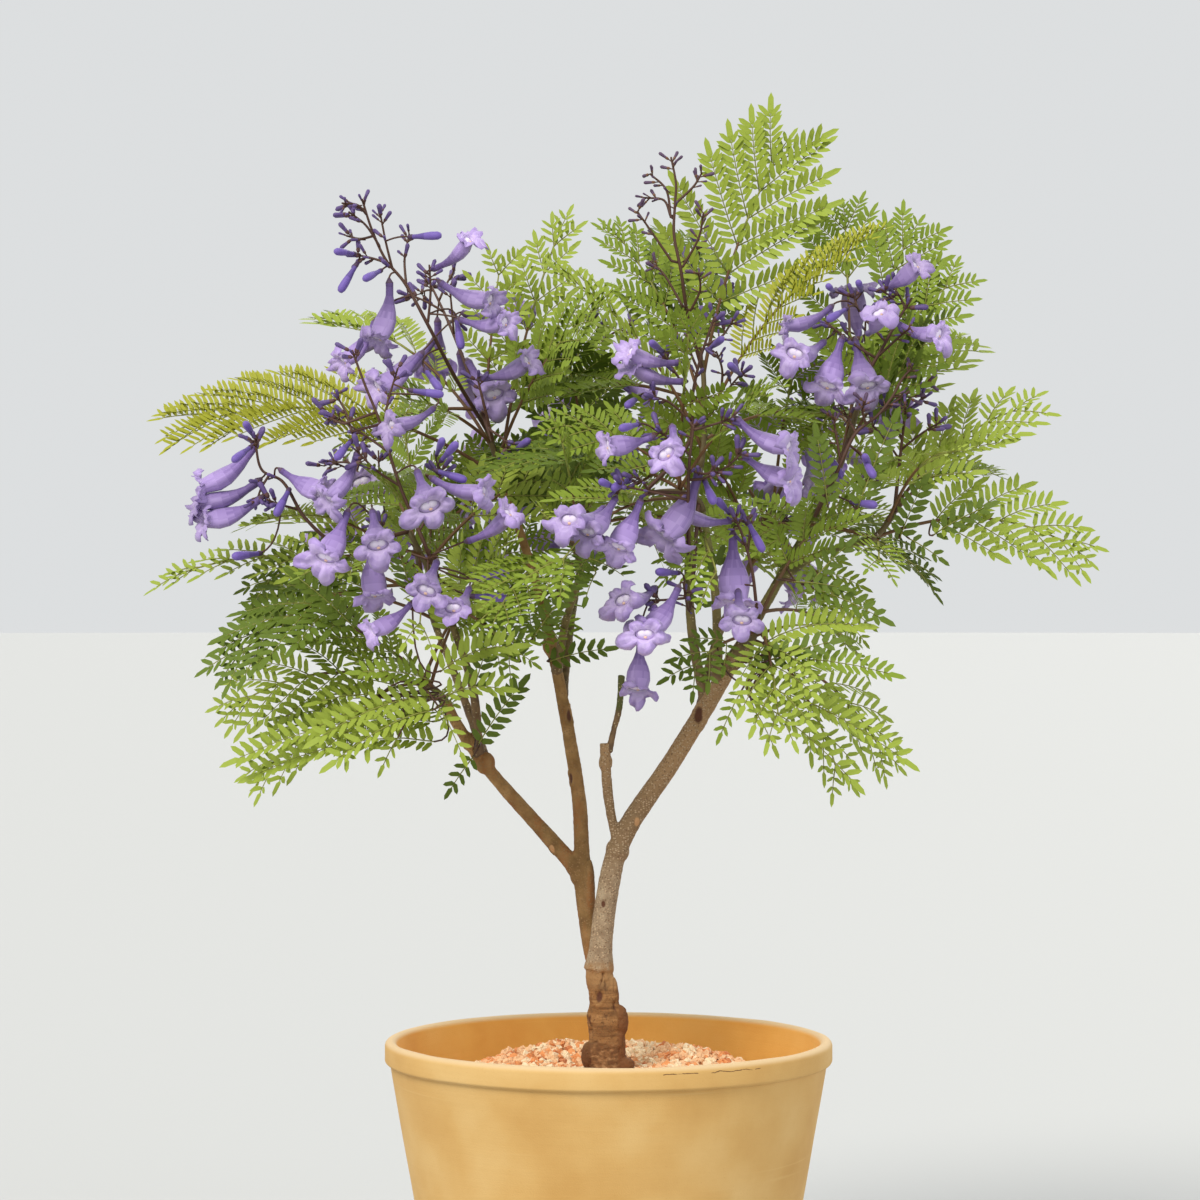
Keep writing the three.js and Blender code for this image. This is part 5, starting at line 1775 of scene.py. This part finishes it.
def petal_point(angle, radius, height, flare, ruffle, seed):
    """Where a point of the ringed tube goes: flattened, sagging, and pulled out in five lobes."""
    share = max(0.0, (height - FLOWER_TUBE) / (LOBE_STEP * LOBE_RINGS))
    t = min(1.0, height / FLOWER_TUBE)
    lower = 0.5 - 0.5 * math.cos(angle)
    flat = 1 - FLATNESS * min(1.0, max(0.0, (t - 0.2) / 0.3))
    belly = BELLY if math.cos(angle) < 0 and 0.4 < t < 0.9 else 1.0
    x = radius * math.sin(angle)
    y = radius * math.cos(angle) * flat * belly
    forward = 0.0
    if share:
        lobe, across = divmod(angle / (2 * math.pi) % 1 * LOBES, 1)
        from_middle = abs(2 * across - 1)
        reach = 0.36 + 0.64 * (1 - from_middle**1.8)
        size = (UPPER_LOBE + LOWER_LOBE_MORE * lower) * flare * reach * share
        size *= 1 + 0.25 * either(seed, lobe)
        curl = 62 - 14 * lower + 26 * either(seed, lobe + LOBES)
        slope = math.radians(58 + 8 * lower - curl * share * flare)
        crumple = noise.noise((3.4 * math.sin(angle) + seed, 3.4 * math.cos(angle), 2 * share))
        wave = math.sin(12 * angle + seed) + 0.7 * math.sin(17 * angle - seed)
        ripple = share * (0.7 * ruffle * wave * (0.5 + 0.5 * from_middle) + 5 * crumple)
        x += size * math.cos(slope) * math.sin(angle) + 0.3 * ripple * math.cos(angle)
        y += size * math.cos(slope) * math.cos(angle) + 0.4 * ripple
        forward = size * math.sin(slope) + ripple
    tilt = math.atan(TUBE_SAG * (2 * t - 1) / FLOWER_TUBE)
    axis_y = -TUBE_SAG * t * (1 - t)
    return (x, axis_y + y * math.cos(tilt) + forward * math.sin(tilt),
            t * FLOWER_TUBE - y * math.sin(tilt) + forward * math.cos(tilt))


lobe_tip = petal_point(math.pi, MOUTH, FLOWER_TUBE + LOBE_STEP * LOBE_RINGS, 1.0, 1.0, 1.7)
print("tip of a lobe:", [round(share, 1) for share in lobe_tip])

# %% Throat


def throat_ball(place, size, finish):
    """A rounded swelling, bent as the tube is, with the number of its finish on each face."""
    thing = ball(place, size, 12, 5)
    for vertex in thing.data.vertices:
        x, y, z = vertex.co
        vertex.co = petal_point(math.atan2(x, y), math.hypot(x, y), min(z, FLOWER_TUBE), 1.0, 0.0, 0.0)
    points, triangles, _ = shape_arrays(thing)
    return points, triangles, np.full(len(triangles), finish)


# The pale lid hides the shaded inside of the tube: painted light, standing in for light through the petals.
THROAT_PARTS = [
    throat_ball((0, 0, 34.2), (6.75, 6.75, 1.3), INSIDE + FIRST_LOBE_RING),
    throat_ball((-1.9, 0.9, 34.8), (3.0, 4.2, 1.1), THROAT),
    throat_ball((2.0, 1.2, 34.8), (2.8, 4.0, 1.1), THROAT),
    throat_ball((0.2, -3.2, 35.0), (1.2, 1.6, 0.9), STAMEN),
]
print("parts in the throat:", len(THROAT_PARTS))

# %% Open flowers
PETAL_THICKNESS = 0.4


def streaked(ring, angle, seed):
    """A ring's finish, moved a ring up or down by chance, so that colours run into each other."""
    drift = round(1.6 * noise.noise((3 * math.sin(angle), 3 * math.cos(angle), seed + 0.7 * ring)))
    first, last = (2, FIRST_LOBE_RING - 1) if ring < FIRST_LOBE_RING else (FIRST_LOBE_RING, INSIDE - 1)
    return ring if ring < first else min(last, max(first, ring + drift))


def trumpet(flare, ruffle, seed):
    """An open flower along +Z, its foot at the origin and its upper lip towards +Y."""
    lobes = [(MOUTH, FLOWER_TUBE + LOBE_STEP * (number + 1)) for number in range(LOBE_RINGS)]
    thing = ringed(0.8, CUP_RINGS + TUBE_RINGS + lobes, FLOWER_SIDES, "NOTHING")
    mesh = thing.data
    wall = mesh.polygons[FLOWER_SIDES // 2]
    if wall.normal.dot(Vector((wall.center.x, wall.center.y, 0))) < 0:
        mesh.flip_normals()
    for face in mesh.polygons:
        angle = math.atan2(face.center.x, face.center.y)
        face.material_index = streaked(face.index // FLOWER_SIDES, angle, seed)
    for vertex in mesh.vertices:
        x, y, z = vertex.co
        vertex.co = petal_point(math.atan2(x, y), math.hypot(x, y), z, flare, ruffle, seed)
    for _ in range(2 * INSIDE):
        mesh.materials.append(None)
    petal = thing.modifiers.new("petal", "SOLIDIFY")
    petal.thickness = PETAL_THICKNESS
    petal.offset = -1
    petal.material_offset = INSIDE
    apply_all(thing)
    return gathered([shape_arrays(thing), *THROAT_PARTS])


TRUMPETS = [
    trumpet(1.0, 0.9, 1.7), trumpet(0.85, 1.1, 5.1), trumpet(1.1, 1.0, 8.4),
    trumpet(0.92, 1.2, 12.9), trumpet(1.05, 1.1, 17.3), trumpet(0.8, 0.9, 21.6),
]
print("flower:", len(TRUMPETS[0][1]), "triangles")

# %% Buds
CLOSED_TUBE = 23.0
CLOSED_RINGS = [
    (1.4, 0.6), (1.7, 2.4), (1.5, 3.6), (1.6, 7.0), (2.3, 12.0), (2.7, 16.5), (2.6, 20.5),
    (1.7, 22.5), (0.3, CLOSED_TUBE),
]
CLOSED_BANDS = (3.6, 11.0, CLOSED_TUBE)
BUD_LENGTH = 8.0
BUD_RINGS = [(0.8, 0.4), (1.1, 1.6), (0.95, 2.4), (1.15, 4.8), (1.3, 6.9), (0.7, BUD_LENGTH)]
BUD_BANDS = (2.0, BUD_LENGTH)


def closed_shape(start_radius, rings, sides, bands):
    """A closed bud along +Z, with a finish for each band up to a height."""
    thing = ringed(start_radius, rings, sides, "NGON")
    for _ in bands:
        thing.data.materials.append(None)
    for face in thing.data.polygons:
        face.material_index = sum(face.center.z > top for top in bands[:-1])
    return shape_arrays(thing)


CLOSED = closed_shape(0.8, CLOSED_RINGS, 12, CLOSED_BANDS)
BUD = closed_shape(0.4, BUD_RINGS, 6, BUD_BANDS)
print("closed flower:", len(CLOSED[1]), "bud:", len(BUD[1]), "triangles")

# %% [markdown]
# ## Petal colours
# Violet deepens towards the neck and pales to lavender at the lobes. Inside, the throat is nearly
# white, and the inside of the tube is paler than the outside: partly the petal's own colour, partly
# painted light that stands in for light shining through the petals into the shaded tube. The colours
# are plain ones in small steps, ring by ring, and three sets of them, a little deeper or paler, are
# dealt out flower by flower. Buds are of two ages: violet ones, and browner young ones on the stems
# that bear no open flower yet.

# %% Flower pieces
LIP_LEAN = (0, -0.45, 1.0)


def fade(first, last, count):
    """Colours in even steps from the first to the last."""
    return np.linspace(first, last, count).tolist()


# The inside tones are paler than the outside: partly the petal's own colour, partly painted light for light
# through the petals into the shaded tube.
PETAL_TONES = [
    (82, 56, 84), (92, 68, 124), *fade((107, 83, 144), (161, 137, 193), 6),
    *fade((167, 143, 198), (158, 134, 192), 4),
    *fade((150, 130, 178), (170, 152, 194), 5), *fade((186, 170, 206), (208, 195, 222), 3),
    *fade((188, 168, 211), (162, 138, 195), 4), (224, 213, 233), (222, 186, 160),
]
PETAL_SHIFTS = {"flowers_violet": 0.93, "flowers_lavender": 1.0, "flowers_pale": 1.06}


def facing(heading, roll, size):
    """A matrix that stands a shape along a heading, its upper lip up and a little to the viewer."""
    lip = turned_about(unit(square_to(LIP_LEAN, heading)), heading, roll)
    return np.stack((np.cross(lip, heading), lip, heading), axis=1) * size


def stood(shape, rows, shape_length, rolls):
    """Copies of a shape on rows of foot, heading and length, each with its own roll."""
    turns = []
    for (_, heading, length), roll in zip(rows, rolls):
        turns.append(facing(heading, roll, length / shape_length * MM))
    return stamped(shape, turns, [foot * MM for foot, _, _ in rows])


def petal_finishes(name, shift):
    """Outside colours by ring, then inside ones, a little lighter or darker by the shift."""
    made = []
    for number, tone in enumerate(PETAL_TONES):
        colour = paint(*(min(255, shift * share) for share in tone))
        made.append(plain_finish(name + "_" + str(number), colour, 0.6, sheen=0.2))
    return made


for group, (name, shift) in enumerate(PETAL_SHIFTS.items()):
    parts = []
    for kind, shape in enumerate(TRUMPETS):
        rows = open_rows[group :: len(PETAL_SHIFTS)][kind :: len(TRUMPETS)]
        parts.append(stood(shape, rows, FLOWER_TUBE, [rng.normal(0, 0.3) for _ in rows]))
    finish_piece(joined_piece(name, gathered(parts), petal_finishes(name, shift)), "blossom")

# %% Closed flowers and buds
closed_finishes = [
    plain_finish("closed_cup", paint(70, 46, 76), 0.6),
    plain_finish("closed_neck", paint(88, 66, 142), 0.6, sheen=0.2),
    plain_finish("closed_tube", paint(108, 84, 166), 0.6, sheen=0.2),
]
closed = stood(CLOSED, closed_rows, CLOSED_TUBE, [rng.normal(0, 0.6) for _ in closed_rows])
finish_piece(joined_piece("flowers_closed", closed, closed_finishes), "blossom")

BUD_COLOURS = {
    "flower_buds": (paint(92, 60, 56), paint(92, 72, 126)),
    "young_buds": (paint(112, 76, 52), paint(88, 64, 92)),
}
for name, (cup, tip) in BUD_COLOURS.items():
    rows = bud_rows[name]
    buds = stood(BUD, rows, BUD_LENGTH, [rng.uniform(0, 6) for _ in rows])
    finishes = [plain_finish(name + "_cup", cup, 0.6), plain_finish(name + "_tip", tip, 0.6)]
    finish_piece(joined_piece(name, buds, finishes), "blossom")

# %% [markdown]
# ## Twigs and stalks
# All the slim round things are tubes: a ring of points carried along a line, closed at both ends.
# Rings turn with the line by the smallest turn from one to the next, so that they don't twist.

# %% Tube pieces
ANY_WAY = (0.31, 0.57, 0.76)


def tube_arrays(line, radii, sides):
    """A closed tube along a line of points, in millimetres."""
    line = np.asarray(line, float)
    ways = np.gradient(line, axis=0)
    ways /= np.maximum(np.linalg.norm(ways, axis=1), 1e-9)[:, None]
    side = unit(np.cross(ways[0], ANY_WAY))
    turns = 2 * math.pi * np.arange(sides) / sides
    rings = []
    for place, way, radius in zip(line, ways, radii):
        side = unit(square_to(side, way))
        other = np.cross(way, side)
        rings.append(place + radius * (np.cos(turns)[:, None] * side + np.sin(turns)[:, None] * other))
    points = np.concatenate((*rings, [line[0]], [line[-1]]))
    steps = np.arange(len(line) - 1)[:, None] * sides
    here = np.arange(sides)
    after = (here + 1) % sides
    walls = np.concatenate((
        np.stack((steps + here, steps + after, steps + after + sides), axis=-1).reshape(-1, 3),
        np.stack((steps + here, steps + after + sides, steps + here + sides), axis=-1).reshape(-1, 3),
    ))
    last = (len(line) - 1) * sides
    foot = np.stack((after, here, np.full(sides, len(points) - 2)), axis=-1)
    tip = np.stack((last + here, last + after, np.full(sides, len(points) - 1)), axis=-1)
    triangles = np.concatenate((walls, foot, tip))
    return points * MM, triangles, np.zeros(len(triangles), int)


TUBE_FINISHES = {
    "rib_red": ("leaf_ribs", paint(104, 72, 38), "foliage"),
    "rib_green": ("leaf_stalks", paint(136, 138, 58), "foliage"),
    "shoot": ("green_shoots", paint(92, 78, 42), "foliage"),
    "stem": ("flower_stems", paint(78, 48, 32), "blossom"),
}
for kind, (name, colour, slot) in TUBE_FINISHES.items():
    arrays = gathered([tube_arrays(*tube) for tube in tubes[kind]])
    piece = joined_piece(name, arrays, [plain_finish(name, colour, 0.6)])
    nodes = list(MASSES) if kind == "shoot" else []
    finish_piece(piece, slot, *nodes)
